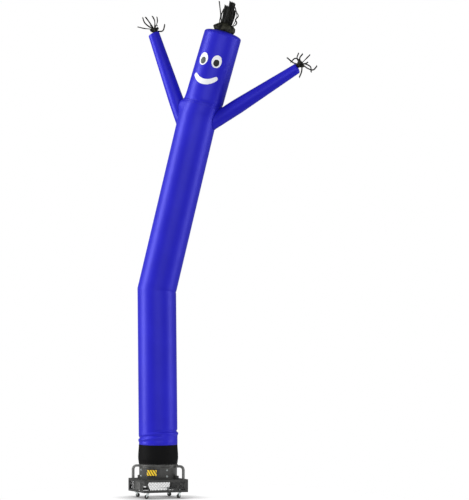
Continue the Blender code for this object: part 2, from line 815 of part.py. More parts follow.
def wall_edge(wall):
    """The wall's own outline, with the half arch that runs round its corner, or the notch."""
    if wall.corner_arch is None:
        below = NOTCH if wall.notch else ()
        return [(0.0, 0.0), *below, (LENGTH, 0.0), (LENGTH, HEIGHT), (0.0, HEIGHT)]
    if wall.corner_arch == "start":
        notch = arc(0.0, ARCH_LOW, CORNER_ARCH, ARCH_RISE, 90, 0, 6)
        notch.append((0.0, ARCH_LOW))
        return [(LENGTH, 0.0), (LENGTH, HEIGHT), (0.0, HEIGHT), *notch, (0.0, 0.0)]
    notch = arc(LENGTH, ARCH_LOW, CORNER_ARCH, ARCH_RISE, 180, 90, 6)
    return [(0.0, 0.0), (LENGTH, 0.0), (LENGTH, ARCH_LOW), *notch, (LENGTH, HEIGHT), (0.0, HEIGHT)]


def clear_of_arch(x, y, middle, half_width):
    """Whether a diamond stands clear of an arch and the plain rim round it."""
    reach_x = (x - middle) / (half_width + DIAMOND_HALF[0] + 0.006)
    reach_y = (y - ARCH_LOW) / (ARCH_RISE + DIAMOND_HALF[1] + 0.004)
    return reach_x ** 2 + reach_y ** 2 > 1


def diamonds(wall):
    """The perforations of a wall, in three offset rows, where nothing else is cut."""
    corner = 0.0 if wall.corner_arch == "start" else LENGTH
    found = []
    for row in range(3 if wall.perforated else 0):
        y = FIELD_LOW + row * DIAMOND_PITCH[1] / 2
        count = int((LENGTH - 2 * FIELD_MARGIN) / DIAMOND_PITCH[0])
        start = (LENGTH - (count - 1 - row % 2) * DIAMOND_PITCH[0]) / 2
        for column in range(count - row % 2):
            x = start + column * DIAMOND_PITCH[0]
            free = wall.corner_arch is None or clear_of_arch(x, y, corner, CORNER_ARCH)
            if wall.notch:
                free = free and x > NOTCH[2][0] + DIAMOND_HALF[0] + 0.010
            if wall.arch is not None:
                free = free and clear_of_arch(x, y, wall.arch, ARCH_HALF)
            if wall.window:
                free = free and not WINDOW[0] - 0.034 < x < WINDOW[1] + 0.018
            if free:
                half_x, half_y = DIAMOND_HALF
                found.append([(x - half_x, y), (x, y - half_y), (x + half_x, y), (x, y + half_y)])
    return found


def make_base():
    deck = outlined("deck", deck_outlines(), SHEET, GREY_STEEL)
    deck.location.z = BASE_HIGH - SHEET / 2
    deck.rotation_euler.z = BASE_TURN + math.radians(45)
    for number, wall in enumerate(WALLS):
        outlines = [wall_edge(wall), *diamonds(wall)]
        if wall.arch is not None:
            outlines.append(arc(wall.arch, ARCH_LOW, ARCH_HALF, ARCH_RISE, 180, 0, 10))
        if wall.window:
            left, right, low, high = WINDOW
            outlines.append([(left, low), (right, low), (right, high), (left, high)])
        plate = outlined(wall.name, outlines, SHEET, GREY_STEEL)
        heading = math.radians(-45 + 90 * number) + BASE_TURN
        plate.rotation_euler = (math.radians(90), 0.0, heading)
        plate.location = wall_point(heading, 0.0, SHEET / 2, 0.0)


def wall_point(heading, along, depth, height):
    """A point of the base by its wall: along it, behind its outer face and over its lower edge."""
    run = Vector((math.cos(heading), math.sin(heading), 0.0))
    outward = Vector((math.sin(heading), -math.cos(heading), 0.0))
    start = outward * (BASE_SIDE / 2) - run * (BASE_SIDE / 2)
    return start + run * along - outward * depth + Vector((0, 0, BASE_LOW + height))


# Guide plate: its flange beside the window, its length, the share of it that stays flat, and how far in
# its far edge stands
GUIDE_FLANGE = 0.014
GUIDE_LENGTH = 0.175
GUIDE_FLAT = 0.12
GUIDE_DEPTH = 0.058
GUIDE_THICK = 0.0015
RIVET_RADIUS = 0.0048
RIVET_RISE = 0.0030
RIVET_INSET = 0.008


def make_guide_plate():
    """The curved sheet behind the window, riveted at its left and bent in towards the fan."""
    heading = math.radians(-45) + BASE_TURN
    left, right, low, high = WINDOW

    def place(u, v):
        share = 1 - v
        along = left - GUIDE_FLANGE + GUIDE_LENGTH * share
        depth = SHEET + GAP + GUIDE_DEPTH * max(0.0, share - GUIDE_FLAT) ** 1.7
        return wall_point(heading, along, depth, low + (high - low) * u)

    rolled("guide_plate", 1, 10, place, GREY_STEEL, GUIDE_THICK)
    for number, height in enumerate((low + GUIDE_FLANGE, high - GUIDE_FLANGE), 1):
        rivet = turned(f"rivet_{number}", dome_profile(RIVET_RADIUS, RIVET_RISE), 8, ZINC)
        rivet.rotation_euler = (math.radians(90), 0.0, heading)
        rivet.location = wall_point(heading, left - RIVET_INSET, -GAP, height)


def dome_profile(radius, height):
    """Half of a domed head on a short straight side."""
    return [
        Turn(0.0, height),
        Turn(radius * 0.6, height * 0.85),
        Turn(radius, height * 0.35),
        Turn(radius, 0.0),
        Turn(0.0, 0.0),
    ]


# Label, bolts and blocks of the drum; a block is its depth, breadth and height
LABEL_WIDTH = 0.170
LABEL_HEIGHT = 0.099
LABEL_LOW = 0.249
LABEL_THICK = 0.001
BOLT_RADIUS = 0.0125
BOLT_RISE = 0.009
BOLT_HEADINGS = (-135, -45, 45, 135)
BOLT_HEIGHTS = (0.258, 0.330)
BLOCK = (0.035, 0.044, 0.038)
EASE = 0.004


def make_drum_fittings():
    """Label plate, dome-headed bolts, clamping blocks and the two handles."""
    radius = DRUM_RADIUS + GAP

    def place(u, v):
        angle = FRONT + (u - 0.5) * LABEL_WIDTH / radius
        return polar(angle, radius, LABEL_LOW + LABEL_HEIGHT * v)

    rolled("label", 10, 1, place, PLATE, LABEL_THICK, side=1.0)
    number = 0
    for heading in BOLT_HEADINGS:
        for height in BOLT_HEIGHTS:
            number += 1
            bolt = turned(f"bolt_{number}", dome_profile(BOLT_RADIUS, BOLT_RISE), 8, ZINC)
            bolt.rotation_euler = (0.0, math.radians(90), math.radians(heading))
            bolt.location = polar(math.radians(heading), radius, height)
    for side, heading in (("left", 180), ("right", 0)):
        turn = math.radians(heading) + BASE_TURN
        centre = (radius + BLOCK[0] / 2, 0.0, BLOCK[2] / 2)
        block = box(f"block_{side}", BLOCK, centre, GREY_STEEL)
        block.location.z = BASE_HIGH + GAP
        block.rotation_euler.z = turn
        bevel = block.modifiers.new("Eased edges", "BEVEL")
        bevel.width = EASE
        bevel.segments = 1
        handle = outlined(f"handle_{side}", [handle_outline()], HANDLE_WIDTH, GREY_STEEL, chamfer=EASE)
        handle.rotation_euler = (math.radians(90), 0.0, turn)


def handle_outline():
    """A square tube that rises from the deck, bends once and runs in to the ring."""
    half = HANDLE_WIDTH / 2
    inner_end = RING_RADIUS + GAP
    foot = BASE_HIGH + GAP
    bend_x = HANDLE_REACH - HANDLE_BEND
    bend_y = HANDLE_HEIGHT - HANDLE_BEND
    outer = arc(bend_x, bend_y, HANDLE_BEND + half, HANDLE_BEND + half, 0, 90, 6)
    inner = arc(bend_x, bend_y, HANDLE_BEND - half, HANDLE_BEND - half, 90, 0, 6)
    outline = [(HANDLE_REACH - half, foot), (HANDLE_REACH + half, foot), *outer]
    outline += [(inner_end, HANDLE_HEIGHT + half), (inner_end, HANDLE_HEIGHT - half), *inner]
    return outline


Caster = namedtuple("Caster", "corner heading")
# Corner of the base and heading of the wheel's trail, both in degrees, the corner before the base's turn
CASTERS = (Caster(180, -15), Caster(-90, 200), Caster(0, 235), Caster(90, 0))
PLATE_TOP = 0.0635
PLATE_LOW = 0.0605


def make_mount(number, corner):
    """Gusset in the base's corner with the caster's stem, nut and bearing, made in one with it."""
    reach = (BASE_SIDE / 2 - SHEET - GAP) * math.sqrt(2)
    leg = 0.112
    triangle = [(reach, 0.0), (reach - leg, leg), (reach - leg, -leg)]
    mount = mesh_from_curve(outlined(f"caster_{number}_mount", [triangle], 0.003, GREY_STEEL))
    mount.data.transform(Matrix.Translation((0, 0, GUSSET_LOW + 0.0015)))
    stem = turned(f"stem_{number}", [
        Turn(0.0, 0.1090),
        Turn(0.0060, 0.1080),
        Turn(0.0085, 0.1050),
        Turn(0.0085, 0.0955),
        Turn(0.0100, 0.0950),
        Turn(0.0100, PLATE_TOP + 0.0004),
        Turn(0.0050, PLATE_TOP + 0.0004),
        Turn(0.0050, PLATE_LOW - 0.0004),
        Turn(0.0085, PLATE_LOW - 0.0004),
        Turn(0.0085, 0.0560),
        Turn(0.0, 0.0560),
    ], 12, ZINC)
    stem.location.x = CASTER_REACH
    as_cutter(stem)
    boolean(mount, stem, "UNION")
    turn = math.radians(corner) + BASE_TURN
    mount.rotation_euler.z = turn
    stem.parent = mount
    return polar(turn, CASTER_REACH)


def fork_mesh():
    """The fork with its axle, about the swivel's axis: trail along +X."""
    side = [
        (-0.014, PLATE_TOP),
        (0.016, PLATE_TOP),
        (0.0245, 0.050),
        (0.0265, AXLE_HEIGHT),
        (0.0240, AXLE_HEIGHT - 0.0055),
        (0.0180, AXLE_HEIGHT - 0.0085),
        (0.0120, AXLE_HEIGHT - 0.0055),
        (-0.010, 0.052),
        (-0.014, 0.057),
    ]
    fork = outlined("fork_form", [side], 0.029, ZINC)
    fork.rotation_euler.x = math.radians(90)
    fork = mesh_from_curve(fork)
    hollow = as_cutter(box("fork_hollow", (0.09, 0.024, 0.060), (0.0, 0.0, PLATE_LOW - 0.030), ZINC))
    bore = as_cutter(cylinder("fork_bore", 0.00535, 0.02, 12, ZINC))
    bore.location.z = PLATE_LOW
    axle = as_cutter(cylinder("fork_axle", AXLE_RADIUS, 0.032, 12, ZINC))
    axle.rotation_euler.x = math.radians(90)
    axle.location = (TRAIL, 0.0, AXLE_HEIGHT)
    boolean(fork, hollow, "DIFFERENCE")
    boolean(fork, bore, "DIFFERENCE")
    boolean(fork, axle, "UNION")
    bpy.context.view_layer.update()
    evaluated = fork.evaluated_get(bpy.context.evaluated_depsgraph_get())
    mesh = bpy.data.meshes.new_from_object(evaluated)
    mesh.transform(fork.matrix_world)
    for used in (fork, hollow, bore, axle):
        bpy.data.objects.remove(used, do_unlink=True)
    mesh.materials.clear()
    mesh.materials.append(ZINC)
    return mesh


def make_casters():
    forked = fork_mesh()
    half = WHEEL_WIDTH / 2
    hole = AXLE_RADIUS + 0.0004
    tread = [
        Turn(hole, half),
        Turn(WHEEL_RADIUS - 0.003, half),
        Turn(WHEEL_RADIUS, half - 0.004),
        Turn(WHEEL_RADIUS, -half + 0.004),
        Turn(WHEEL_RADIUS - 0.003, -half),
        Turn(hole, -half),
    ]
    for number, caster in enumerate(CASTERS, 1):
        spot = make_mount(number, caster.corner)
        fork = bpy.data.objects.new(f"caster_{number}_fork", forked.copy())
        DANCER.objects.link(fork)
        fork.parent = STAND
        fork.location = spot
        fork.rotation_euler.z = math.radians(caster.heading)
        wheel = turned(f"caster_{number}_wheel", tread, WHEEL_SIDES, TYRE, closed=True)
        wheel.parent = fork
        wheel.location = (TRAIL, 0.0, AXLE_HEIGHT)
        # One of the tread's flat sides is turned to the floor
        level = math.radians(90) + math.pi / WHEEL_SIDES
        wheel.rotation_euler = (math.radians(90), level, 0.0)


def centre_the_stand():
    """Slides the stand so that the origin is under the middle of the part's box, on the floor."""
    bpy.context.view_layer.update()
    graph = bpy.context.evaluated_depsgraph_get()
    low = Vector((1e9, 1e9, 1e9))
    high = -low
    for obj in DANCER.objects:
        if obj.type == "EMPTY":
            continue
        solid = obj.evaluated_get(graph)
        mesh = solid.to_mesh()
        for vert in mesh.vertices:
            point = solid.matrix_world @ vert.co
            low = Vector(map(min, low, point))
            high = Vector(map(max, high, point))
        solid.to_mesh_clear()
    STAND.location = (-(low.x + high.x) / 2, -(low.y + high.y) / 2, -low.z)


make_tubes()
make_sleeve()
for oval in FACE_OVALS:
    make_oval(oval)
make_mouth()
make_hair()
make_tassel("tassel_left", LEFT_ARM, LEFT_STRANDS, 0.75)
make_tassel("tassel_right", RIGHT_ARM, RIGHT_STRANDS, 1.0)
make_drum()
make_base()
make_guide_plate()
make_drum_fittings()
make_casters()
centre_the_stand()
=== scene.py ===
import json
import math

import bmesh
import bpy
from mathutils import Matrix, Vector, noise


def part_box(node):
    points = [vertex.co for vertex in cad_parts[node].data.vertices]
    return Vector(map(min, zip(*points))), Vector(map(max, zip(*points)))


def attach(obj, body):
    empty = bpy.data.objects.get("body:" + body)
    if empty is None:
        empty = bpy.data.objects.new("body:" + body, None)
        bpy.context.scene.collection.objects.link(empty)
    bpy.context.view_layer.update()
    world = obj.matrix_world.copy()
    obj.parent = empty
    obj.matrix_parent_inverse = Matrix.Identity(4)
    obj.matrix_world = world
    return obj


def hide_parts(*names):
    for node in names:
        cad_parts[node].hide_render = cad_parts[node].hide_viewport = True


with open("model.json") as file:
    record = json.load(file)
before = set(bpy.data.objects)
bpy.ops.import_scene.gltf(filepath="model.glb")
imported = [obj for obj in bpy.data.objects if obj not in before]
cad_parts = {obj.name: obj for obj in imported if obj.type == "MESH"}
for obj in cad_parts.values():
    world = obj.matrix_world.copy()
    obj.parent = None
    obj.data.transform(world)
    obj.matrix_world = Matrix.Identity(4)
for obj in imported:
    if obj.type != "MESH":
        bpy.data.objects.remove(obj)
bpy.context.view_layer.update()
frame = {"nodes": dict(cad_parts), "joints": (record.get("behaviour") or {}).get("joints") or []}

bpy.ops.object.select_all(action="DESELECT")

# Camera: stands low and far off, a little to the right of the face, and looks up at mid height.
# Floor and light: a pale floor that fades out round the blower, a white studio, one tall soft box
# at the left that draws the light band down the cloth and a weaker one at the right. All of it is
# placed from the axis of the blower's drum, which is the foot of the dancer.
drum_low, drum_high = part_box("drum")
STAND = Vector(((drum_low.x + drum_high.x) / 2, (drum_low.y + drum_high.y) / 2, 0))
bpy.ops.object.camera_add(location=STAND + Vector((7.217, -22.889, 1.6)))
camera = bpy.context.object
camera.name = "camera"
camera.data.lens = 145.9
camera.data.sensor_width = 36
camera.data.clip_end = 200
aim = STAND + Vector((0.859, 0.271, 2.92))
camera.rotation_euler = (aim - camera.location).to_track_quat("-Z", "Y").to_euler()
bpy.context.scene.camera = camera


def wire(tree, kind, sockets=None, **settings):
    """One shader node with its settings; a socket takes a number, a colour or another node's output."""
    node = tree.nodes.new(kind)
    for key, value in settings.items():
        setattr(node, key, value)
    for key, value in (sockets or {}).items():
        if isinstance(value, bpy.types.NodeSocket):
            tree.links.new(value, node.inputs[key])
        else:
            node.inputs[key].default_value = value
    return node


def calc(tree, operation, *values):
    """The result of one step of arithmetic."""
    return wire(tree, "ShaderNodeMath", dict(enumerate(values)), operation=operation).outputs[0]


def ramped(tree, value, low=0.0, high=1.0, start=0.0, end=1.0):
    """A value that runs from low to high, made to run from start to end."""
    return wire(tree, "ShaderNodeMapRange", {0: value, 1: low, 2: high, 3: start, 4: end}).outputs[0]


def mixed(tree, share, first, second, **settings):
    """Two colours, mixed by a share."""
    values = {0: share, 6: first, 7: second}
    return wire(tree, "ShaderNodeMix", values, data_type="RGBA", **settings).outputs[2]


def mottle(tree, place, scale, detail, **more):
    """Soft uneven noise, between 0 and 1."""
    values = {"Vector": place, "Scale": scale, "Detail": detail, **more}
    return wire(tree, "ShaderNodeTexNoise", values).outputs[0]


def new_material(name, **sockets):
    """A material with its main shader, whose constants are set on the shader itself."""
    material = bpy.data.materials.new(name)
    material.use_nodes = True
    tree = material.node_tree
    shader = tree.nodes["Principled BSDF"]
    for key, value in sockets.items():
        shader.inputs[key.replace("_", " ")].default_value = value
    return material, tree, shader


bpy.ops.mesh.primitive_circle_add(vertices=128, radius=9, fill_type="NGON", location=(-0.3, 0, -0.0005))
floor = bpy.context.object
floor.name = "floor"
material, tree, shader = new_material(
    "pale_floor", Base_Color=(0.25, 0.25, 0.25, 1), Roughness=0.6, Specular_IOR_Level=0.05,
)
# The floor glows: its emission is the ambient occlusion raised to a power, so it is white in the open and
# dark only close under the blower. That dark patch is a painted contact shadow, not a shadow cast by the
# lamps.
painted_contact_shadow = wire(tree, "ShaderNodeAmbientOcclusion", {"Distance": 0.34}, samples=16)
painted_contact_shadow = calc(tree, "POWER", painted_contact_shadow.outputs["AO"], 2.6)
tree.links.new(painted_contact_shadow, shader.inputs["Emission Color"])
shader.inputs["Emission Strength"].default_value = 0.85
where = wire(tree, "ShaderNodeTexCoord").outputs["Object"]
reach = wire(tree, "ShaderNodeVectorMath", {0: where}, operation="LENGTH").outputs["Value"]
fade = wire(tree, "ShaderNodeMapRange", {0: reach, 1: 0.9, 2: 2.6, 3: 1.0, 4: 0.0})
fade.interpolation_type = "SMOOTHERSTEP"
tree.links.new(fade.outputs[0], shader.inputs["Alpha"])
floor.data.materials.append(material)

bpy.context.scene.view_settings.view_transform = "Standard"
world = bpy.data.worlds.new("studio")
bpy.context.scene.world = world
world.use_nodes = True
tree = world.node_tree
backdrop = tree.nodes["Background"]
backdrop.inputs["Color"].default_value = (1, 1, 1, 1)
backdrop.inputs["Strength"].default_value = 1.0
room = wire(tree, "ShaderNodeBackground", {"Color": (0.97, 0.98, 1, 1), "Strength": 0.22})
seen = wire(tree, "ShaderNodeLightPath").outputs["Is Camera Ray"]
both = wire(tree, "ShaderNodeMixShader", {0: seen, 1: room.outputs[0], 2: backdrop.outputs[0]})
tree.links.new(both.outputs[0], tree.nodes["World Output"].inputs["Surface"])

LAMPS = (
    ("key_box", (-7.6, 0.2, 4.4), (2.6, 9.5), 820),
    ("fill_box", (7.3, 0.8, 3.2), (2.6, 7.0), 330),
    ("front_box", (0.6, 11.0, 5.5), (9.0, 8.0), 860),
)
for name, (right, near, up), (width, height), power in LAMPS:
    place = Vector((-0.2, 0, 0)) + Vector((0.954, 0.301, 0)) * right + Vector((0.301, -0.954, 0)) * near
    place.z = up
    bpy.ops.object.light_add(type="AREA", location=place)
    lamp = bpy.context.object
    lamp.name = name
    lamp.data.shape = "RECTANGLE"
    lamp.data.size, lamp.data.size_y = width, height
    lamp.data.energy = power
    lamp.rotation_euler = (Vector((-0.1, 0, 2.6)) - place).to_track_quat("-Z", "Y").to_euler()

# Tube of the body: coated blue nylon, cut as one long panel and sewn into a tube with a felled seam down
# the back. The fan blows it up tight. It kinks at mid height, creases over the sleeve, and its top hem
# is sewn to the head. The two arms are sewn over round holes under that hem.
TUBE_RADIUS = 0.2285
CLOTH = 0.0006
FOOT = STAND + Vector((0, 0, 0.630))
KINK = STAND + Vector((-0.021, 0, 2.442))
SHOULDER = STAND + Vector((0.486, 0, 4.500))
NECK = STAND + Vector((0.552, 0, 4.645))
CROWN = STAND + Vector((0.7876, 0, 5.4375))
NECK_RADIUS, HEAD_RADIUS, CROWN_RADIUS = 0.2220, 0.2300, 0.2230
VIEWED_FROM = math.radians(-72.5)
TUBE_COLUMNS = 144
BACK_SEAM = math.radians(90)


def bell(distance, width):
    return math.exp(-((distance / width) ** 2))


def wrapped(angle):
    return (angle + math.pi) % (2 * math.pi) - math.pi


def lean(start, end):
    return math.atan2(end.x - start.x, end.z - start.z)


def ring_point(centre, tilt, radius, angle):
    """A point of a ring that faces along a tube which leans to the right by this tilt."""
    point = centre + Vector((math.cos(tilt), 0, -math.sin(tilt))) * (radius * math.cos(angle))
    point.y += radius * math.sin(angle)
    return point


# Creases over the sleeve: headings from the middle of the view, heights, width, depth and roll
CREASES = (
    (-120, 18, 0.690, 0.741, 0.013, 0.011, 0.007),
    (-8, 120, 0.776, 0.784, 0.012, 0.010, 0.009),
    (105, 215, 0.772, 0.704, 0.014, 0.009, 0.006),
    (-60, 40, 0.667, 0.684, 0.012, 0.003, 0.002),
)


def crease_relief(angle, height):
    heading = math.degrees(wrapped(angle - VIEWED_FROM))
    relief = 0.0
    for start, end, low, high, width, depth, roll in CREASES:
        for turn in (heading, heading + 360):
            share = (turn - start) / (end - start)
            if -0.2 < share < 1.2:
                hold = min(1.0, (share + 0.2) / 0.3, (1.2 - share) / 0.3)
                line = height - low - (high - low) * share
                relief -= depth * hold * bell(line, width)
                relief += roll * hold * bell(line + 2.4 * width, width * 1.5)
    return relief


def shoulder_pull(angle, height):
    """The left arm drags the cloth out in front of its root."""
    return 0.042 * bell(height - 4.585, 0.065) * bell(wrapped(angle - math.radians(196)), 0.33)


def puckers(angle):
    """Fine gathers beside a seam, from the pull of its thread."""
    return 0.0011 * math.sin(38 * angle + 1.5 * math.sin(3 * angle)) * (0.6 + 0.4 * math.sin(7 * angle))


def body_relief(angle, height):
    """How far the cloth stands off its plain tube: creases, the drawn-in foot, the pull and puckers."""
    drawn_in = -0.004 * bell(height - 0.651, 0.020) * (0.5 - 0.5 * math.sin(angle - VIEWED_FROM))
    fold = -0.003 * bell(height - KINK.z, 0.014) * bell(wrapped(angle), 0.9)
    pucker = puckers(angle) * (bell(height - FOOT.z, 0.026) + bell(height - NECK.z, 0.022))
    return crease_relief(angle, height) + drawn_in + shoulder_pull(angle, height) + fold + pucker


def cloth_grid(name, rows, around=True, wall=CLOTH):
    """A sheet of cloth through rows of points, with a UV map in metres, its wall turned inwards.

    Each row runs the same way; with around, the last point of a row is joined to the first.
    """
    form = bmesh.new()
    laid = form.loops.layers.uv.new("cut")
    verts = [[form.verts.new(point) for point in row] for row in rows]
    columns = len(rows[0])
    last = columns if around else columns - 1
    girths = []
    for row in rows:
        steps = [(row[(i + 1) % columns] - row[i]).length for i in range(last)]
        girths.append(sum(steps))
    girth = max(girths)
    climb = [0.0]
    for low, high in zip(rows, rows[1:]):
        climb.append(climb[-1] + sum((a - b).length for a, b in zip(low, high)) / columns)
    for r in range(len(rows) - 1):
        for i in range(last):
            j = (i + 1) % columns
            corners = (verts[r][i], verts[r][j], verts[r + 1][j], verts[r + 1][i])
            face = form.faces.new(corners)
            face.smooth = True
            places = ((i, r), (i + 1, r), (i + 1, r + 1), (i, r + 1))
            for loop, (column, row) in zip(face.loops, places):
                loop[laid].uv = (girth * (column / last), climb[row])
    bmesh.ops.remove_doubles(form, verts=form.verts, dist=0.000002)
    mesh = bpy.data.meshes.new(name)
    form.to_mesh(mesh)
    form.free()
    cloth = bpy.data.objects.new(name, mesh)
    bpy.context.scene.collection.objects.link(cloth)
    if wall:
        thicken = cloth.modifiers.new("Wall", "SOLIDIFY")
        thicken.thickness = wall
        thicken.offset = -1
        apply_all(cloth)
    return cloth


def apply_all(obj):
    """Makes an object the only one chosen, and applies its modifiers in order."""
    bpy.ops.object.select_all(action="DESELECT")
    obj.select_set(True)
    bpy.context.view_layer.objects.active = obj
    for modifier in list(obj.modifiers):
        bpy.ops.object.modifier_apply(modifier=modifier.name)


def cut_round(obj, cutter):
    trim = obj.modifiers.new("Trim", "BOOLEAN")
    trim.operation = "DIFFERENCE"
    trim.object = cutter
    trim.solver = "EXACT"
    apply_all(obj)


STITCH = 0.0036


def woven(tree, shader, thread, hem_lines=(), back_seam=0.0, depth=0.00006):
    """Weave, stitch lines and puckers of a cloth, drawn on its UV map, which is in metres."""
    laid = wire(tree, "ShaderNodeUVMap", uv_map="cut").outputs["UV"]
    apart = wire(tree, "ShaderNodeSeparateXYZ", {0: laid})
    across, along = apart.outputs["X"], apart.outputs["Y"]
    height = depth
    for side in (across, along):
        rib = calc(tree, "SINE", calc(tree, "MULTIPLY", side, math.pi / thread))
        height = calc(tree, "MULTIPLY", height, calc(tree, "ABSOLUTE", rib))
    crumple = calc(tree, "MULTIPLY", mottle(tree, laid, 9.0, 3.0), 0.0004)
    height = calc(tree, "ADD", height, crumple)
    stitched = None
    lines = [(along, across, line) for line in hem_lines]
    if back_seam:
        lines += [(across, along, line) for line in (0.006, 0.013, back_seam - 0.006)]
    for crossing, running, line in lines:
        off = calc(tree, "ABSOLUTE", calc(tree, "SUBTRACT", crossing, line))
        near = ramped(tree, off, 0.0003, 0.0011, 1.0, 0.0)
        dash = calc(tree, "SINE", calc(tree, "MULTIPLY", running, 2 * math.pi / STITCH))
        one = calc(tree, "MULTIPLY", near, ramped(tree, dash, -0.7, -0.3))
        stitched = one if stitched is None else calc(tree, "MAXIMUM", stitched, one)
    if stitched is not None:
        height = calc(tree, "ADD", height, calc(tree, "MULTIPLY", stitched, -0.0005))
    bump = wire(tree, "ShaderNodeBump", {"Height": height, "Distance": 1.0, "Strength": 0.8})
    tree.links.new(bump.outputs[0], shader.inputs["Normal"])
    return laid, stitched


def nylon(name, colour, deep, thread=0.0007, hem_lines=(), back_seam=0.0, **sockets):
    """Coated nylon: a deep and a plain tone drift over the panel, darker in the stitches."""
    material, tree, shader = new_material(name, **sockets)
    laid, stitched = woven(tree, shader, thread, hem_lines, back_seam)
    drift = ramped(tree, mottle(tree, laid, 2.3, 4.0), 0.35, 0.65)
    tone = mixed(tree, drift, deep, colour)
    if stitched is not None:
        tone = mixed(tree, stitched, tone, tuple(0.55 * part for part in deep[:3]) + (1,))
    tree.links.new(tone, shader.inputs["Base Color"])
    rough = sockets.get("Roughness", 0.5)
    grain = ramped(tree, mottle(tree, laid, 14.0, 2.0), 0.0, 1.0, rough - 0.05, rough + 0.05)
    tree.links.new(grain, shader.inputs["Roughness"])
    return material


def dress(obj, material, node):
    """Gives a cloth piece its material and its body, and hides the CAD node that it replaces."""
    obj.data.materials.clear()
    obj.data.materials.append(material)
    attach(obj, "root")
    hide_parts(node)


SATIN = {"Roughness": 0.42, "Specular_IOR_Level": 0.6, "Specular_Tint": (0.25, 0.25, 1, 1)}
BLUE, DEEP_BLUE = (0.016, 0.014, 0.46, 1), (0.013, 0.011, 0.41, 1)

half_kink = (lean(KINK, SHOULDER) - lean(FOOT, KINK)) / 2
body_keys = (
    # centre, tilt, radius, rows up to the next one
    (FOOT, 0.0, 0.2275, 5),
    (FOOT.lerp(KINK, 0.0130), 0.0, TUBE_RADIUS, 44),
    (FOOT.lerp(KINK, 0.1180), 0.0, TUBE_RADIUS, 34),
    (FOOT.lerp(KINK, 0.9300), lean(FOOT, KINK), TUBE_RADIUS, 12),
    (KINK, lean(FOOT, KINK) + half_kink, TUBE_RADIUS / math.cos(half_kink), 12),
    (KINK.lerp(SHOULDER, 0.0600), lean(KINK, SHOULDER), TUBE_RADIUS, 36),
    (KINK.lerp(SHOULDER, 0.8400), lean(KINK, SHOULDER), TUBE_RADIUS, 30),
    (SHOULDER, lean(KINK, SHOULDER), TUBE_RADIUS, 10),
    (SHOULDER.lerp(NECK, 0.35), lean(KINK, SHOULDER), TUBE_RADIUS, 10),
    (SHOULDER.lerp(NECK, 0.72), lean(NECK, CROWN), TUBE_RADIUS - 0.002, 10),
    (NECK, lean(NECK, CROWN), NECK_RADIUS, 0),
)


def tube_rows(keys, relief, columns=TUBE_COLUMNS, lift=0.0):
    """Rows of points round a tube, straight from key ring to key ring, with its relief on top."""
    rows = []
    for key, after in zip(keys, keys[1:]):
        for step in range(key[3]):
            share = step / key[3]
            rows.append(tube_row(key, after, share, relief, columns, lift))
    rows.append(tube_row(keys[-2], keys[-1], 1.0, relief, columns, lift))
    return rows


def tube_row(key, after, share, relief, columns, lift):
    row = []
    centre = key[0].lerp(after[0], share)
    for column in range(columns):
        angle = BACK_SEAM + 2 * math.pi * column / columns
        low = ring_point(*key[:3], angle)
        high = ring_point(*after[:3], angle)
        point = low.lerp(high, share)
        spoke = (point - centre).normalized()
        row.append(point + spoke * (relief(angle, centre.z) + lift))
    return row


rows = tube_rows(body_keys, body_relief)
for column, point in enumerate(rows[0]):
    angle = BACK_SEAM + 2 * math.pi * column / TUBE_COLUMNS
    point.z -= 0.006 * (1 + math.cos(angle - VIEWED_FROM))
    rows[1][column].z -= 0.004 * (1 + math.cos(angle - VIEWED_FROM))
    rows[2][column].z -= 0.002 * (1 + math.cos(angle - VIEWED_FROM))
body_tube = cloth_grid("body_tube_cloth", rows)
body_length = (KINK - FOOT).length + (SHOULDER - KINK).length + (NECK - SHOULDER).length
body_girth = 2 * math.pi * TUBE_RADIUS
body_nylon = nylon(
    "body_nylon", BLUE, DEEP_BLUE, hem_lines=(0.007, 0.014, body_length - 0.007, body_length - 0.014),
    back_seam=body_girth, **SATIN,
)

# Head: a shorter tube of the same nylon, sewn to the body's top hem, drawn in a little at that seam, with
# a domed top panel that is left open in the middle under the hair so that the air gets out.
HEAD_AXIS = (CROWN - NECK).normalized()
HEAD_LEAN = lean(NECK, CROWN)
HEAD_HEIGHT = (CROWN - NECK).length


def head_radius(height):
    share = max(0.0, height) / HEAD_HEIGHT
    drawn = (HEAD_RADIUS - NECK_RADIUS) * bell(height, 0.030)
    return HEAD_RADIUS + (CROWN_RADIUS - HEAD_RADIUS) * share - drawn


def smooth_line(points, steps):
    """Tuples along one smooth curve through these tuples."""
    ends = [tuple(2 * a - b for a, b in zip(points[0], points[1]))]
    tail = tuple(2 * a - b for a, b in zip(points[-1], points[-2]))
    padded = ends + list(points) + [tail]
    line = []
    for before, start, end, after in zip(padded, padded[1:], padded[2:], padded[3:]):
        for step in range(steps):
            t = step / steps
            line.append(tuple(
                0.5 * (2 * s + (e - b) * t + (2 * b - 5 * s + 4 * e - a) * t ** 2
                       + (3 * s - b - 3 * e + a) * t ** 3)
                for b, s, e, a in zip(before, start, end, after)
            ))
    return line + [tuple(points[-1])]


def head_relief(angle, height):
    return puckers(angle) * bell(height - NECK.z, 0.022) + shoulder_pull(angle, height)


DOME = ((0.2230, 0.0), (0.2215, 0.007), (0.2165, 0.017), (0.2050, 0.028), (0.1700, 0.041), (0.1080, 0.0520))
rows = []
for step in range(76):
    height = HEAD_HEIGHT * min(1.0, (step / 75) ** 1.35)
    centre = NECK + HEAD_AXIS * (height + 0.0003)
    row = []
    for column in range(TUBE_COLUMNS):
        angle = BACK_SEAM + 2 * math.pi * column / TUBE_COLUMNS
        radius = head_radius(height) + head_relief(angle, centre.z)
        row.append(ring_point(centre, HEAD_LEAN, radius, angle))
    rows.append(row)
for radius, rise in smooth_line(DOME, 5)[1:]:
    row = []
    for column in range(TUBE_COLUMNS):
        angle = BACK_SEAM + 2 * math.pi * column / TUBE_COLUMNS
        gather = 0.0016 * math.sin(30 * angle) * bell(radius - 0.216, 0.010)
        centre = CROWN + HEAD_AXIS * (rise + 0.0003)
        row.append(ring_point(centre, HEAD_LEAN, radius + gather, angle))
    rows.append(row)
head_tube = cloth_grid("head_tube_cloth", rows)
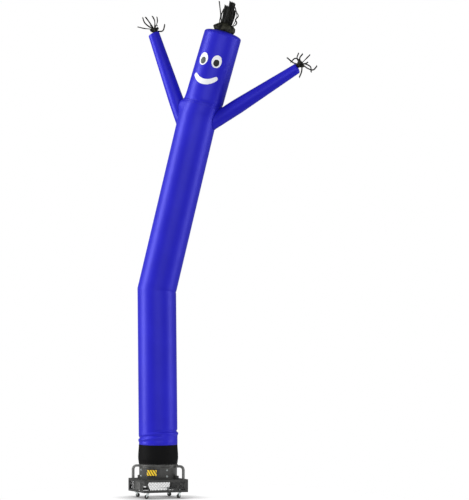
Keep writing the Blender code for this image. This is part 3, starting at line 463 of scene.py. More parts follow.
head_nylon = nylon(
    "head_nylon", BLUE, DEEP_BLUE, hem_lines=(0.007, HEAD_HEIGHT + 0.004, HEAD_HEIGHT + 0.010),
    back_seam=2 * math.pi * HEAD_RADIUS, **SATIN,
)

# Arms: two tapered tubes of the same nylon. Each is sewn to the body round its hole, follows the body's
# side there, and is closed at the hand by gathering its end into the tuft of streamers.
ARM_LENGTH, ARM_STRAIGHT, HAND_RISE = 1.176, 0.35, 0.022
ARM_COLUMNS = 96


class Arm:
    def __init__(self, name, root, along, root_radius, hand_radius):
        self.name = name
        self.root = STAND + Vector(root)
        self.along = Vector(along).normalized()
        self.up = (Vector((0, 0, 1)) - self.along * self.along.z).normalized()
        self.side = self.along.cross(self.up)
        self.root_radius, self.hand_radius = root_radius, hand_radius

    def point(self, distance, radius, angle, rise=0.0):
        spoke = self.up * math.cos(angle) + self.side * math.sin(angle)
        return self.root + self.along * distance + spoke * radius + self.up * rise

    def radius(self, distance):
        taper = max(0.0, distance - ARM_STRAIGHT) / (ARM_LENGTH - ARM_STRAIGHT)
        return self.root_radius + (self.hand_radius - self.root_radius) * taper


ARMS = (
    Arm("arm_right", (0.670, 0, 4.422), (0.8634, 0, 0.5044), 0.0888, 0.0600),
    Arm("arm_left", (0.303, 0.070, 4.390), (-0.3286, 0, 0.9445), 0.0892, 0.0686),
)
HAND_END = (
    (1.0, 0.0, 0.0), (0.985, 0.004, 0.06), (0.93, 0.010, 0.2), (0.76, 0.016, 0.55), (0.45, 0.019, 1.0),
    (0.16, 0.020, 1.0),
)
trunk_keys = body_keys[5:]
trunk = cloth_grid("trunk", tube_rows(trunk_keys, body_relief, 96, lift=0.0005), wall=0)
head_trunk = [(NECK, HEAD_LEAN, NECK_RADIUS, 16), (NECK + HEAD_AXIS * 0.06, HEAD_LEAN, HEAD_RADIUS, 6),
              (CROWN, HEAD_LEAN, CROWN_RADIUS, 0)]
head_form = cloth_grid("head_form", tube_rows(head_trunk, head_relief, 96, lift=0.0005), wall=0)
arm_nylon = nylon(
    "arm_nylon", BLUE, DEEP_BLUE, hem_lines=(0.007, 0.014), back_seam=2 * math.pi * 0.088, **SATIN,
)
for arm in ARMS:
    starts = []
    for column in range(ARM_COLUMNS):
        angle = math.pi + 2 * math.pi * column / ARM_COLUMNS
        outside = arm.point(0.45, arm.radius(0.45), angle)
        inside = arm.point(-0.17, arm.radius(0.0), angle)
        way = inside - outside
        hits = []
        for form in (trunk, head_form):
            hit, place, _, _ = form.ray_cast(outside, way.normalized(), distance=way.length)
            if hit:
                hits.append((place - outside).length)
        starts.append(0.45 - min(hits) * (0.62 / way.length) if hits else -0.17)
    rows = []
    for step in range(61):
        share = (step / 60) ** 1.15
        row = []
        for column, start in enumerate(starts):
            angle = math.pi + 2 * math.pi * column / ARM_COLUMNS
            distance = start + (ARM_LENGTH - start) * share
            ripples = math.sin(26 * angle + 1.2 * math.sin(2 * angle))
            pucker = 0.0012 * ripples * bell(distance - start, 0.022)
            tug = -0.0022 * bell(distance - start - 0.050, 0.022) * (0.5 + 0.5 * math.sin(5 * angle + 1))
            row.append(arm.point(distance, arm.radius(distance) + pucker + tug, angle))
        rows.append(row)
    for size, height, rise in smooth_line(HAND_END, 5)[1:]:
        row = []
        for column in range(ARM_COLUMNS):
            angle = math.pi + 2 * math.pi * column / ARM_COLUMNS
            pleat = 0.0030 * math.sin(16 * angle) * (1 - size) * min(1.0, size * 3)
            point = arm.point(ARM_LENGTH + height + pleat, arm.hand_radius * size, angle, HAND_RISE * rise)
            row.append(point)
        rows.append(row)
    hub = arm.point(ARM_LENGTH + 0.0205, 0, 0, HAND_RISE)
    rows.append([hub] * ARM_COLUMNS)
    arm_cloth = cloth_grid(arm.name + "_cloth", rows)
    dress(arm_cloth, arm_nylon, arm.name)
    bore_rows = []
    for distance in (-0.17, ARM_STRAIGHT):
        bore_rows.append([
            arm.point(distance, arm.radius(0) - 0.006, 2 * math.pi * i / 48) for i in range(48)
        ])
    bore_rows.insert(0, [arm.point(-0.17, 0, 0)] * 48)
    bore_rows.append([arm.point(ARM_STRAIGHT, 0, 0)] * 48)
    bore = cloth_grid("bore", bore_rows, wall=0)
    cut_round(body_tube, bore)
    bpy.data.objects.remove(bore)
for form in (trunk, head_form):
    bpy.data.objects.remove(form)
dress(body_tube, body_nylon, "body_tube")
dress(head_tube, head_nylon, "head_tube")

# Sleeve: black nylon, sewn to the foot of the tube. It is pulled down over the rim and the collar of the
# blower and drawn tight there by the cord in its hem, just over the rolled ring.
SLEEVE_ROWS = ((0.2268, 0.3995), (0.2282, 0.4150), (0.2342, 0.4470), (0.2353, 0.4700), (0.2342, 0.5100),
               (0.2295, 0.5920), (0.2275, 0.6297))
rows = []
for radius, height in smooth_line(SLEEVE_ROWS, 9):
    row = []
    for column in range(TUBE_COLUMNS):
        angle = BACK_SEAM + 2 * math.pi * column / TUBE_COLUMNS
        dip = 0.006 * (1 + math.cos(angle - VIEWED_FROM)) * bell(height - 0.6297, 0.020)
        gathers = math.sin(36 * angle + 2 * math.sin(4 * angle)) * bell(height - 0.418, 0.016)
        slack = noise.noise(Vector((3 * math.cos(angle), 3 * math.sin(angle), 9 * height)))
        hem = 0.0007 * min(1.0, max(0.0, (0.424 - height) / 0.002))
        lift = 0.0013 * gathers + 0.0022 * slack * bell(height - 0.520, 0.060) + hem
        row.append(STAND + Vector((
            (radius + lift) * math.cos(angle), (radius + lift) * math.sin(angle), height - dip,
        )))
    rows.append(row)
sleeve = cloth_grid("sleeve_cloth", rows, wall=0.0009)
black_nylon = nylon(
    "black_nylon", (0.0040, 0.0040, 0.0042, 1), (0.0028, 0.0028, 0.0030, 1), thread=0.0010,
    hem_lines=(0.022, 0.227), back_seam=2 * math.pi * 0.2353, Roughness=0.62, Specular_IOR_Level=0.06,
)
dress(sleeve, black_nylon, "cuff")

# Face: eyes, pupils and smile cut from white and black nylon, laid on the head and sewn down round their
# edges with a close zigzag, which stands as a low ridge.
FRONT = math.radians(-90)


def on_face(across, height, lift):
    angle = FRONT + across / HEAD_RADIUS
    centre = NECK + HEAD_AXIS * (height + 0.0003)
    return ring_point(centre, HEAD_LEAN, head_radius(height) + lift, angle)


def edge_ridge(inwards):
    """Height of a patch over its own foot, by the distance from its cut edge."""
    return 0.0007 + 0.0006 * bell(inwards - 0.0022, 0.0018) - 0.0003 * bell(inwards, 0.0007)


def zigzagged(name, colour, deep, **sockets):
    """Nylon of a patch, with the slanted threads of the zigzag along its edge."""
    material, tree, shader = new_material(name, **sockets)
    laid, _ = woven(tree, shader, 0.0007)
    apart = wire(tree, "ShaderNodeSeparateXYZ", {0: laid})
    tone = mixed(tree, ramped(tree, mottle(tree, laid, 12.0, 4.0), 0.35, 0.65), deep, colour)
    edge = ramped(tree, apart.outputs["Y"], 0.0034, 0.0042, 1.0, 0.0)
    slant = calc(tree, "SINE", calc(tree, "MULTIPLY", apart.outputs["X"], 2 * math.pi / 0.0011))
    sewn = mixed(tree, edge, (1, 1, 1, 1), ramped(tree, slant, -1.0, 1.0, 0.72, 1.0))
    tone = mixed(tree, 1.0, tone, sewn, blend_type="MULTIPLY")
    tree.links.new(tone, shader.inputs["Base Color"])
    return material


white_patch = zigzagged("white_patch", (0.86, 0.86, 0.88, 1), (0.78, 0.79, 0.82, 1), Roughness=0.5,
                        Sheen_Weight=0.2, Sheen_Roughness=0.5)
black_patch = zigzagged("black_patch", (0.024, 0.024, 0.024, 1), (0.014, 0.014, 0.014, 1), Roughness=0.5,
                        Specular_IOR_Level=0.12)
# The left pupil gets a lighter, greenish grey copy of the black nylon. That grey is a painted reflection of
# the key light on the pupil, not a fade of the cloth.
faded_patch = zigzagged("faded_patch", (0.092, 0.108, 0.100, 1), (0.060, 0.072, 0.066, 1), Roughness=0.5,
                        Specular_IOR_Level=0.2)
OVALS = (
    # node, across, height, half width, half height, lift of its foot, material
    ("eye_left", -0.086, 0.500, 0.0610, 0.0760, 0.0006, white_patch),
    ("eye_right", 0.087, 0.503, 0.0610, 0.0760, 0.0006, white_patch),
    ("pupil_left", -0.085, 0.481, 0.0355, 0.0420, 0.0019, faded_patch),
    ("pupil_right", 0.087, 0.486, 0.0355, 0.0420, 0.0019, black_patch),
)
for node, across, height, half_width, half_height, foot, material in OVALS:
    rows = []
    inwards = [0.0, 0.0006, 0.0013, 0.0022, 0.0032, 0.0044, 0.0060]
    inwards += [0.006 + (half_width - 0.006) * (step / 9) for step in range(1, 9)]
    for depth in inwards:
        share = 1 - depth / half_width
        row = []
        for column in range(72):
            turn = 2 * math.pi * column / 72
            right = across + half_width * share * math.cos(turn)
            up = height + half_height * share * math.sin(turn)
            row.append(on_face(right, up, foot + edge_ridge(depth)))
        rows.append(row)
    rows.append([on_face(across, height, foot + 0.0007)] * 72)
    patch = cloth_grid(node + "_patch", rows, wall=0.0005)
    dress(patch, material, node)

# Smile: a bowed band; the reach, height and rise of its middle line, and half its width in the middle
# and at its round ends
MOUTH_REACH, MOUTH_HEIGHT, MOUTH_RISE, MOUTH_TILT = 0.133, 0.241, 0.060, 0.005
MOUTH_HALF, MOUTH_END = 0.033, 0.024
rows = []
for level in (0.0, 0.012, 0.030, 0.055, 0.09, 0.2, 0.35, 0.5, 0.65, 0.8, 0.91, 0.945, 0.97, 0.988, 1.0):
    row = []
    for column in range(113):
        share = column / 112
        run = (MOUTH_REACH + MOUTH_END) * (0.3 * (2 * share - 1) - 0.7 * math.cos(math.pi * share))
        past = max(0.0, abs(run) - MOUTH_REACH)
        share = max(-1.0, min(1.0, run / MOUTH_REACH))
        ahead = Vector((1.0, (2 * MOUTH_RISE * share + MOUTH_TILT) / MOUTH_REACH)).normalized()
        middle = Vector((MOUTH_REACH * share, MOUTH_HEIGHT + MOUTH_RISE * share ** 2 + MOUTH_TILT * share))
        middle += ahead * math.copysign(past, run)
        half = MOUTH_HALF + (MOUTH_END - MOUTH_HALF) * share ** 2
        half *= math.sqrt(max(0.0, 1 - (past / MOUTH_END) ** 2))
        inwards = min(level, 1 - level) * 2 * half
        inwards = min(inwards, MOUTH_REACH + MOUTH_END - abs(run))
        point = middle + Vector((-ahead.y, ahead.x)) * (half * (2 * level - 1))
        row.append(on_face(point.x, point.y, 0.0006 + edge_ridge(inwards)))
    rows.append(row)
smile = cloth_grid("mouth_patch", rows, around=False, wall=0.0005)
dress(smile, white_patch, "mouth")

# Hair: a wide strip of sheer black mesh, gathered into a crumpled cap over the vent, with a bundle of
# streamers of the same mesh caught in its top. The air that leaves the head blows them up.
HAIR_SEAT = CROWN + HEAD_AXIS * 0.0515
HAIR_ROWS = ((0.116, 0.0), (0.127, 0.020), (0.130, 0.045), (0.119, 0.068), (0.094, 0.090), (0.060, 0.107),
             (0.024, 0.115), (0.004, 0.1155))


def mesh_cloth(name, pale, dark, patch_scale, **sockets):
    """Sheer black mesh: olive where one layer lets the light through, black where it lies double."""
    material, tree, shader = new_material(name, **sockets)
    laid, _ = woven(tree, shader, 0.0016, depth=0.00025)
    place = wire(tree, "ShaderNodeTexCoord").outputs["Object"]
    layers = ramped(tree, mottle(tree, place, patch_scale, 6.0, Roughness=0.62), 0.47, 0.66)
    tree.links.new(mixed(tree, layers, dark, pale), shader.inputs["Base Color"])
    return material


hair_mesh = mesh_cloth("black_mesh", (0.052, 0.052, 0.036, 1), (0.006, 0.006, 0.005, 1), 26.0,
                       Roughness=0.55, Specular_IOR_Level=0.12)
streamer_mesh = mesh_cloth("streamer_mesh", (0.016, 0.017, 0.014, 1), (0.004, 0.004, 0.004, 1), 40.0,
                           Roughness=0.5, Specular_IOR_Level=0.12)
rows = []
HEAD_ACROSS = Vector((math.cos(HEAD_LEAN), 0, -math.sin(HEAD_LEAN)))
for radius, rise in smooth_line(HAIR_ROWS, 6):
    row = []
    for column in range(120):
        angle = 2 * math.pi * column / 120
        spoke = HEAD_ACROSS * math.cos(angle) + Vector((0, 1, 0)) * math.sin(angle)
        share = min(1.0, rise / 0.050)
        spread = 1 + share * (0.045 * math.sin(5 * angle + 0.7) + 0.030 * math.sin(9 * angle + 2.0))
        pleats = 0.0030 * math.sin(27 * angle + 3 * math.sin(2 * angle)) * min(1.0, radius / 0.06)
        place = HAIR_SEAT + spoke * radius + HEAD_AXIS * rise
        crumple = noise.turbulence(place * 22, 3, False) - 0.5
        tab = 0.020 * bell(wrapped(angle - math.pi), 0.30) * bell(rise - 0.045, 0.022)
        out = radius * spread + pleats * min(1.0, rise / 0.015) + tab
        out += 0.014 * crumple * share * min(1.0, radius / 0.05)
        lift = rise + 0.008 * crumple * share
        row.append(HAIR_SEAT + spoke * out + HEAD_AXIS * lift)
    rows.append(row)
rows.append([HAIR_SEAT + HEAD_AXIS * 0.116] * 120)
hair_cap = cloth_grid("hair_cap", rows, wall=0.0008)


def streamer(points, width, turn, number, steps=9, root=0.55):
    """One strip of mesh: gathered at its root, cupped, rippled along its length, with a slant-cut tip."""
    line = [Vector(point) for point in smooth_line(points, steps)]
    rows = []
    for index, point in enumerate(line):
        share = index / (len(line) - 1)
        ahead = (line[min(index + 1, len(line) - 1)] - line[max(index - 1, 0)]).normalized()
        flat = ahead.cross(Vector((0, 1, 0)))
        flat = flat.normalized() if flat.length > 0.05 else Vector((1, 0, 0))
        sway = turn + 16 * math.sin(3.1 * share + number)
        flat = Matrix.Rotation(math.radians(sway), 3, ahead) @ flat
        edge = ahead.cross(flat).normalized()
        half = width / 2 * (root + (1 - root) * min(1.0, share / 0.25))
        row = []
        for side in (-1, -0.5, 0, 0.5, 1):
            cup = width * 0.16 * (1 - side * side)
            ripple = width * 0.10 * side * math.sin(11 * share + 1.7 * number)
            slant = 0.35 * width * side * max(0.0, share - 0.9) * 10
            row.append(point + flat * (half * side) + edge * (cup + ripple) + ahead * slant)
        rows.append(row)
    return cloth_grid(f"strip_{number}", rows, around=False, wall=0.0008)


def joined(name, parts):
    bpy.ops.object.select_all(action="DESELECT")
    for part in parts:
        part.select_set(True)
    bpy.context.view_layer.objects.active = parts[0]
    bpy.ops.object.join()
    whole = bpy.context.object
    whole.name = whole.data.name = name
    return whole


# Locks: width, turn, and points right, up and back of the seat; the wide ones are bundles of strips
LOCKS = (
    (0.062, 4, ((0.000, 0.085, -0.030), (0.020, 0.160, -0.034),
               (0.038, 0.235, -0.036), (0.056, 0.302, -0.036))),
    (0.066, -6, ((0.064, 0.070, -0.012), (0.078, 0.150, -0.014), (0.090, 0.240, -0.014),
                 (0.112, 0.345, -0.012))),
    (0.060, 8, ((0.030, 0.085, 0.012), (0.046, 0.160, 0.010),
               (0.052, 0.230, 0.010), (0.064, 0.280, 0.012))),
    (0.056, -12, ((0.066, 0.070, 0.036), (0.088, 0.150, 0.040),
               (0.100, 0.215, 0.044), (0.104, 0.270, 0.046))),
    (0.052, 10, ((-0.010, 0.080, 0.040), (0.000, 0.150, 0.050),
               (0.008, 0.205, 0.056), (0.022, 0.255, 0.058))),
    (0.014, 0, ((-0.040, 0.075, 0.004), (-0.050, 0.128, -0.004), (-0.036, 0.190, -0.006),
                (-0.045, 0.280, -0.006), (-0.054, 0.358, -0.006))),
    (0.014, 0, ((-0.030, 0.075, 0.026), (-0.040, 0.140, 0.026), (-0.034, 0.205, 0.020),
                (-0.004, 0.266, 0.018))),
    (0.015, 30, ((0.080, 0.050, -0.040), (0.146, 0.060, -0.046), (0.170, 0.090, -0.046),
                 (0.156, 0.126, -0.044), (0.188, 0.168, -0.042), (0.164, 0.218, -0.040),
                 (0.146, 0.272, -0.036))),
    (0.013, 0, ((0.070, 0.060, -0.050), (0.122, 0.120, -0.062), (0.128, 0.190, -0.064),
                (0.134, 0.274, -0.056))),
    (0.015, 50, ((0.020, 0.070, 0.064), (0.012, 0.150, 0.092), (-0.012, 0.225, 0.106),
                 (-0.020, 0.290, 0.104))),
    (0.015, -40, ((0.074, 0.055, 0.060), (0.110, 0.120, 0.094), (0.124, 0.185, 0.120),
                  (0.116, 0.240, 0.140))),
)
HAIR_REACH = 0.012
strips = []
for width, turn, points in LOCKS:
    count = 3 if width > 0.04 else 1
    for part in range(count):
        beside = (part - (count - 1) / 2) * width / max(count, 1) * 0.95
        behind = 0.004 * (part % 2)
        shorter = (0.0, 0.022, 0.009)[(part + len(strips)) % 3] if count > 1 else 0.0
        way = []
        for step, (right, up, back) in enumerate(points):
            share = step / (len(points) - 1)
            fan = beside * (0.7 + 0.5 * share)
            place = HAIR_SEAT + Vector((right + fan, back + behind, up + (HAIR_REACH - shorter) * share))
            way.append(tuple(place))
        strips.append(streamer(way, width / count * 1.25 if count > 1 else width, turn, len(strips) + 1))
hair_streamers = joined("hair_streamers", strips)
hair_streamers.data.materials.clear()
hair_streamers.data.materials.append(streamer_mesh)
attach(hair_streamers, "root")
dress(hair_cap, hair_mesh, "hair")

# Tassels: at each hand a rosette of the same mesh, gathered to a neck in the closed end of the arm, with
# loose streamers knotted into it that stand out on all sides.
TUFT_ROWS = ((0.002, 0.0), (0.024, 0.002), (0.026, 0.014), (0.034, 0.036), (0.046, 0.058), (0.048, 0.072),
             (0.030, 0.078), (0.012, 0.072), (0.002, 0.070))
RIGHT_STRANDS = (
    # tip right, up and back of the hub, its bow right and up, and its turn
    (-0.162, 0.085, 0.050, 0.010, -0.028, 10), (-0.031, 0.122, -0.030, -0.024, -0.008, 0),
    (0.020, 0.122, 0.045, -0.022, -0.004, 25), (0.101, 0.099, -0.010, 0.0, 0.0, -15),
    (0.075, 0.008, -0.050, 0.0, -0.008, 20), (0.181, -0.032, 0.012, 0.012, -0.046, 0),
    (0.109, -0.114, -0.034, 0.026, 0.020, 10), (-0.030, -0.173, -0.050, 0.014, 0.006, -10),
    (-0.127, 0.012, -0.042, 0.006, 0.040, 30),
)
LEFT_STRANDS = (
    (-0.137, 0.146, -0.022, -0.018, -0.012, 0), (-0.104, 0.160, 0.040, 0.004, -0.004, 15),
    (-0.022, 0.153, -0.046, 0.016, 0.0, 0), (0.034, 0.150, 0.006, 0.014, -0.004, -20),
    (0.129, 0.062, 0.052, 0.018, -0.044, 0), (-0.199, 0.041, 0.020, 0.0, -0.006, 20),
    (-0.040, 0.070, 0.080, -0.012, 0.008, 40), (0.040, 0.052, 0.100, 0.0, 0.020, -30),
)


def front_view(right, up, back):
    turn = VIEWED_FROM - FRONT
    return Vector(((right - back * math.sin(turn)) / math.cos(turn), back, up))


for arm, strands, spread in ((ARMS[0], RIGHT_STRANDS, 1.0), (ARMS[1], LEFT_STRANDS, 0.75)):
    side = arm.name.split("_")[1]
    start = ARM_LENGTH + 0.0205
    rows = []
    for radius, rise in smooth_line(TUFT_ROWS, 4):
        row = []
        for column in range(72):
            angle = 2 * math.pi * column / 72
            hold = min(1.0, rise / 0.05)
            frill = 1 + hold * (0.16 * math.sin(5 * angle) + 0.10 * math.sin(14 * angle + 1.0))
            place = arm.point(start + rise * spread, radius * frill, angle, HAND_RISE)
            crumple = noise.turbulence(place * 45, 3, False) - 0.5
            row.append(place + arm.along * (0.010 * crumple * hold))
        rows.append(row)
    rosette = cloth_grid(f"tassel_{side}_rosette", rows, wall=0.0008)
    hub = arm.point(start + 0.060 * spread, 0, 0, HAND_RISE)
    strips = []
    for number, (right, up, back, bow_right, bow_up, turn) in enumerate(strands, 1):
        tip = front_view(right, up, back)
        bow = front_view(bow_right, bow_up, 0)
        curl = front_view(bow_right, bow_up, 0) * 0.25
        way = [hub + tip * 0.02, hub + tip * 0.30 + bow, hub + tip * 0.66 + bow + curl, hub + tip]
        strips.append(streamer([tuple(p) for p in way], 0.0155, turn, number, steps=10, root=0.45))
    burst = joined(f"tassel_{side}_streamers", strips)
    burst.data.materials.clear()
    burst.data.materials.append(streamer_mesh)
    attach(burst, "root")
    dress(rosette, hair_mesh, f"tassel_{side}")

# Casters: four swivel casters with zinc-plated forks and black rubber tyres. Each one's stem is bolted with
# a domed nut through a steel gusset in its corner of the base.
BASE_SIDE, BASE_TURN = 0.546, math.radians(-7)
BASE_LOW, BASE_HIGH, SHEET, GAP = 0.072, 0.222, 0.0025, 0.0003
CASTER_REACH, GUSSET_LOW, FORK_TOP, TRAIL, WHEEL_RADIUS = 0.280, 0.094, 0.0635, 0.018, 0.0246


def choose(obj):
    bpy.ops.object.select_all(action="DESELECT")
    obj.select_set(True)
    bpy.context.view_layer.objects.active = obj


def settled(obj, name, material, body, *nodes, angle=35, slot=None):
    """Settles a finished piece: its place applied, shaded by angle, with its finish, body and CAD node."""
    choose(obj)
    bpy.ops.object.transform_apply(location=True, rotation=True, scale=True)
    bpy.ops.object.shade_smooth_by_angle(angle=math.radians(angle))
    obj.name = obj.data.name = name
    obj.data.materials.clear()
    obj.data.materials.append(material)
    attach(obj, body)
    if nodes:
        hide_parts(*nodes)
    return obj


def lathed(profile, steps=64):
    """A turned piece about its own upright axis, from (radius, height) points down its outer side."""
    mesh = bpy.data.meshes.new("turned")
    mesh.from_pydata([(r, 0, h) for r, h in profile], [(i, i + 1) for i in range(len(profile) - 1)], [])
    obj = bpy.data.objects.new("turned", mesh)
    bpy.context.scene.collection.objects.link(obj)
    choose(obj)
    bpy.ops.object.mode_set(mode="EDIT")
    bpy.ops.mesh.select_all(action="SELECT")
    bpy.ops.mesh.spin(steps=steps, angle=2 * math.pi, center=(0, 0, 0), axis=(0, 0, 1))
    bpy.ops.mesh.select_all(action="SELECT")
    bpy.ops.mesh.remove_doubles(threshold=0.00001)
    bpy.ops.mesh.normals_make_consistent(inside=False)
    bpy.ops.object.mode_set(mode="OBJECT")
    return obj


def cut_sheet(outlines, thickness, ease=0.0004):
    """A flat sheet cut to these outlines, holes included, with its cut edges eased."""
    curve = bpy.data.curves.new("cut_sheet", "CURVE")
    curve.dimensions = "2D"
    curve.fill_mode = "BOTH"
    curve.extrude = thickness / 2 - ease
    curve.bevel_depth = ease
    curve.bevel_resolution = 1
    curve.offset = -ease
    for outline in outlines:
        spline = curve.splines.new("POLY")
        spline.points.add(len(outline) - 1)
        for point, (x, y) in zip(spline.points, outline):
            point.co = (x, y, 0, 1)
        spline.use_cyclic_u = True
    obj = bpy.data.objects.new("cut_sheet", curve)
    bpy.context.scene.collection.objects.link(obj)
    choose(obj)
    bpy.ops.object.convert(target="MESH")
    return bpy.context.object


def eased(obj, width, segments=3, angle=50):
    """Rounds the edges that are sharper than this angle."""
    rounding = obj.modifiers.new("Eased edges", "BEVEL")
    rounding.width = width
    rounding.segments = segments
    rounding.angle_limit = math.radians(angle)
    apply_all(obj)
    return obj


def copied(obj, name):
    twin = obj.copy()
    twin.data = obj.data.copy()
    twin.name = twin.data.name = name
    bpy.context.scene.collection.objects.link(twin)
    return twin


def arc(centre_x, centre_y, radius_x, radius_y, start, end, steps):
    turns = [math.radians(start + (end - start) * step / steps) for step in range(steps + 1)]
    return [(centre_x + radius_x * math.cos(turn), centre_y + radius_y * math.sin(turn)) for turn in turns]


def polar(angle, radius, height=0.0):
    return Vector((radius * math.cos(angle), radius * math.sin(angle), height))


def metal(name, colour, worn, grain, bump, **sockets):
    """A coated or plated metal: its tone drifts, its gloss varies and its skin is slightly uneven."""
    material, tree, shader = new_material(name, **sockets)
    place = wire(tree, "ShaderNodeTexCoord").outputs["Object"]
    drift = ramped(tree, mottle(tree, place, 7.0, 5.0), 0.35, 0.7)
    tree.links.new(mixed(tree, drift, colour, worn), shader.inputs["Base Color"])
    speck = mottle(tree, place, grain, 3.0)
    rough = sockets.get("Roughness", 0.5)
    tree.links.new(ramped(tree, speck, 0.0, 1.0, rough - 0.08, rough + 0.08), shader.inputs["Roughness"])
    skin = wire(tree, "ShaderNodeBump", {"Height": speck, "Distance": bump, "Strength": 0.5})
    tree.links.new(skin.outputs[0], shader.inputs["Normal"])
    return material


zinc = metal("zinc", (0.56, 0.60, 0.60, 1), (0.42, 0.45, 0.44, 1), 160.0, 0.0004, Metallic=1.0,
             Roughness=0.34)
rubber = metal("tyre", (0.018, 0.018, 0.018, 1), (0.030, 0.029, 0.028, 1), 240.0, 0.0005, Roughness=0.72)
hub_grey = metal("hub_grey", (0.050, 0.050, 0.048, 1), (0.034, 0.034, 0.033, 1), 200.0, 0.0003,
                 Roughness=0.5)
powder_coat = metal("grey_steel", (0.060, 0.060, 0.057, 1), (0.045, 0.045, 0.043, 1), 420.0, 0.0005,
                    Roughness=0.46, Metallic=0.35)
# The base's coat: a darker copy of the drum's grey coat. Its extra darkness is painted shade, for the light
# that falls from above and the left.
shaded_base_coat = metal("base_steel", (0.032, 0.032, 0.031, 1), (0.022, 0.022, 0.021, 1), 420.0, 0.0005,
                  Roughness=0.5, Metallic=0.3)

gusset_reach = (BASE_SIDE / 2 - SHEET - GAP) * math.sqrt(2)
GUSSET_LEG = 0.112
gusset_back = gusset_reach - GUSSET_LEG
gusset = cut_sheet([[(gusset_reach - 0.001, 0.0), (gusset_back, 0.111), (gusset_back, -0.111)]], 0.003)
gusset.location.z = GUSSET_LOW + 0.0015
stem = lathed((
    (0, 0.1090), (0.0035, 0.1086), (0.0060, 0.1072), (0.0074, 0.1050), (0.0074, 0.1046), (0.0082, 0.1040),
    (0.0082, 0.0985), (0.0100, 0.0980), (0.0100, 0.0972), (0.0052, 0.0970), (0.0052, 0.0938),
    (0.0095, 0.0935), (0.0095, 0.0760), (0.0112, 0.0745), (0.0112, 0.0680), (0.0095, 0.0660),
    (0.0095, FORK_TOP + 0.0004), (0.0050, FORK_TOP + 0.0004), (0.0050, 0.0601), (0.0082, 0.0601),
    (0.0082, 0.0562), (0, 0.0560),
), steps=32)
stem.location.x = CASTER_REACH
mount = joined("caster_mount", [gusset, stem])
bpy.ops.object.transform_apply(location=True, rotation=True, scale=True)

FORK_SIDE = (
    (-0.014, FORK_TOP), (0.016, FORK_TOP), (0.0215, 0.050), (0.0238, 0.0262), (0.0221, 0.0205),
    (0.0180, 0.0188), (0.0139, 0.0205), (0.0102, 0.0300), (-0.010, 0.054), (-0.014, 0.058),
)
cheeks = []
for side in (-1, 1):
    cheek = cut_sheet([FORK_SIDE], 0.0024, ease=0.0006)
    cheek.rotation_euler.x = math.radians(90)
    cheek.location.y = side * 0.0132
    cheeks.append(cheek)
bpy.ops.mesh.primitive_cube_add(size=1, location=(0.001, 0, FORK_TOP - 0.0015),
                                scale=(0.030, 0.0285, 0.003))
crown_plate = eased(bpy.context.object, 0.001)
axle = lathed((
    (0, 0.0185), (0.0034, 0.0182), (0.0058, 0.0168), (0.0058, 0.0146), (0.0039, 0.0145), (0.0039, -0.0145),
    (0.0058, -0.0146), (0.0058, -0.0168), (0.0034, -0.0182), (0, -0.0185),
), steps=24)
axle.rotation_euler.x = math.radians(90)
axle.location = (TRAIL, 0, WHEEL_RADIUS)
fork = joined("caster_fork", [crown_plate, *cheeks, axle])
bpy.ops.object.transform_apply(location=True, rotation=True, scale=True)

tyre = lathed((
    (0.0165, 0.0085), (0.0178, 0.0098), (0.0215, 0.0098), (0.0236, 0.0088), (0.0245, 0.0066),
    (WHEEL_RADIUS, 0.0040),
    (WHEEL_RADIUS, -0.0040), (0.0245, -0.0066), (0.0236, -0.0088), (0.0215, -0.0098), (0.0178, -0.0098),
    (0.0165, -0.0085), (0.0165, 0.0085),
), steps=48)
hub = lathed((
    (0.0044, 0.0098), (0.0075, 0.0098), (0.0082, 0.0070), (0.0150, 0.0066), (0.0164, 0.0082),
    (0.0164, -0.0082),
    (0.0150, -0.0066), (0.0082, -0.0070), (0.0075, -0.0098), (0.0044, -0.0098), (0.0044, 0.0098),
), steps=48)
for number in range(1, 5):
    swivel, roll = [next(j for j in frame["joints"] if j["name"] == f"{kind}_{number}")
                    for kind in ("swivel", "roll")]
    spot = Vector(swivel["pos_m"])
    corner = spot - STAND
    placed = copied(mount, f"caster_{number}_mount_zinc")
    placed.location = STAND
    placed.rotation_euler.z = math.atan2(corner.y, corner.x)
    settled(placed, f"caster_{number}_mount_zinc", zinc, "root", f"caster_{number}_mount")
    centre, way = Vector(roll["pos_m"]), Vector(roll["axis"])
    ahead = centre - spot
    placed = copied(fork, f"caster_{number}_fork_zinc")
    placed.location = (spot.x, spot.y, 0)
    placed.rotation_euler.z = math.atan2(ahead.y, ahead.x)
    settled(placed, f"caster_{number}_fork_zinc", zinc, f"fork_{number}", f"caster_{number}_fork")
    for part, finish, nodes in ((tyre, rubber, [f"caster_{number}_wheel"]), (hub, hub_grey, [])):
        placed = copied(part, "wheel_part")
        placed.location = centre
        placed.rotation_euler = way.to_track_quat("Z", "Y").to_euler()
        name = f"caster_{number}_tyre" if nodes else f"caster_{number}_hub"
        settled(placed, name, finish, f"wheel_{number}", *nodes)
for pattern in (mount, fork, tyre, hub):
    bpy.data.objects.remove(pattern)

# Base: a square box folded from powder-coated sheet steel and open below, given a darker copy of the drum's
# coat whose extra darkness is painted shade. Each wall is punched with staggered diamonds, for the air, and
# with arches over the casters; the near left one has a window, the far left one is open below, and the far
# right one is plain.
LENGTH, HEIGHT = BASE_SIDE - SHEET - GAP, BASE_HIGH - SHEET - GAP - BASE_LOW
ARCH_HALF, ARCH_LOW, ARCH_RISE, CORNER_ARCH = 0.048, 0.025, 0.058, 0.055
WINDOW = (0.207, 0.398, 0.022, 0.130)
NOTCH = ((0.037, 0.0), (0.012, 0.100), (0.300, 0.100), (0.290, 0.0))
PITCH, DIAMOND = (0.019, 0.036), (0.0080, 0.0152)


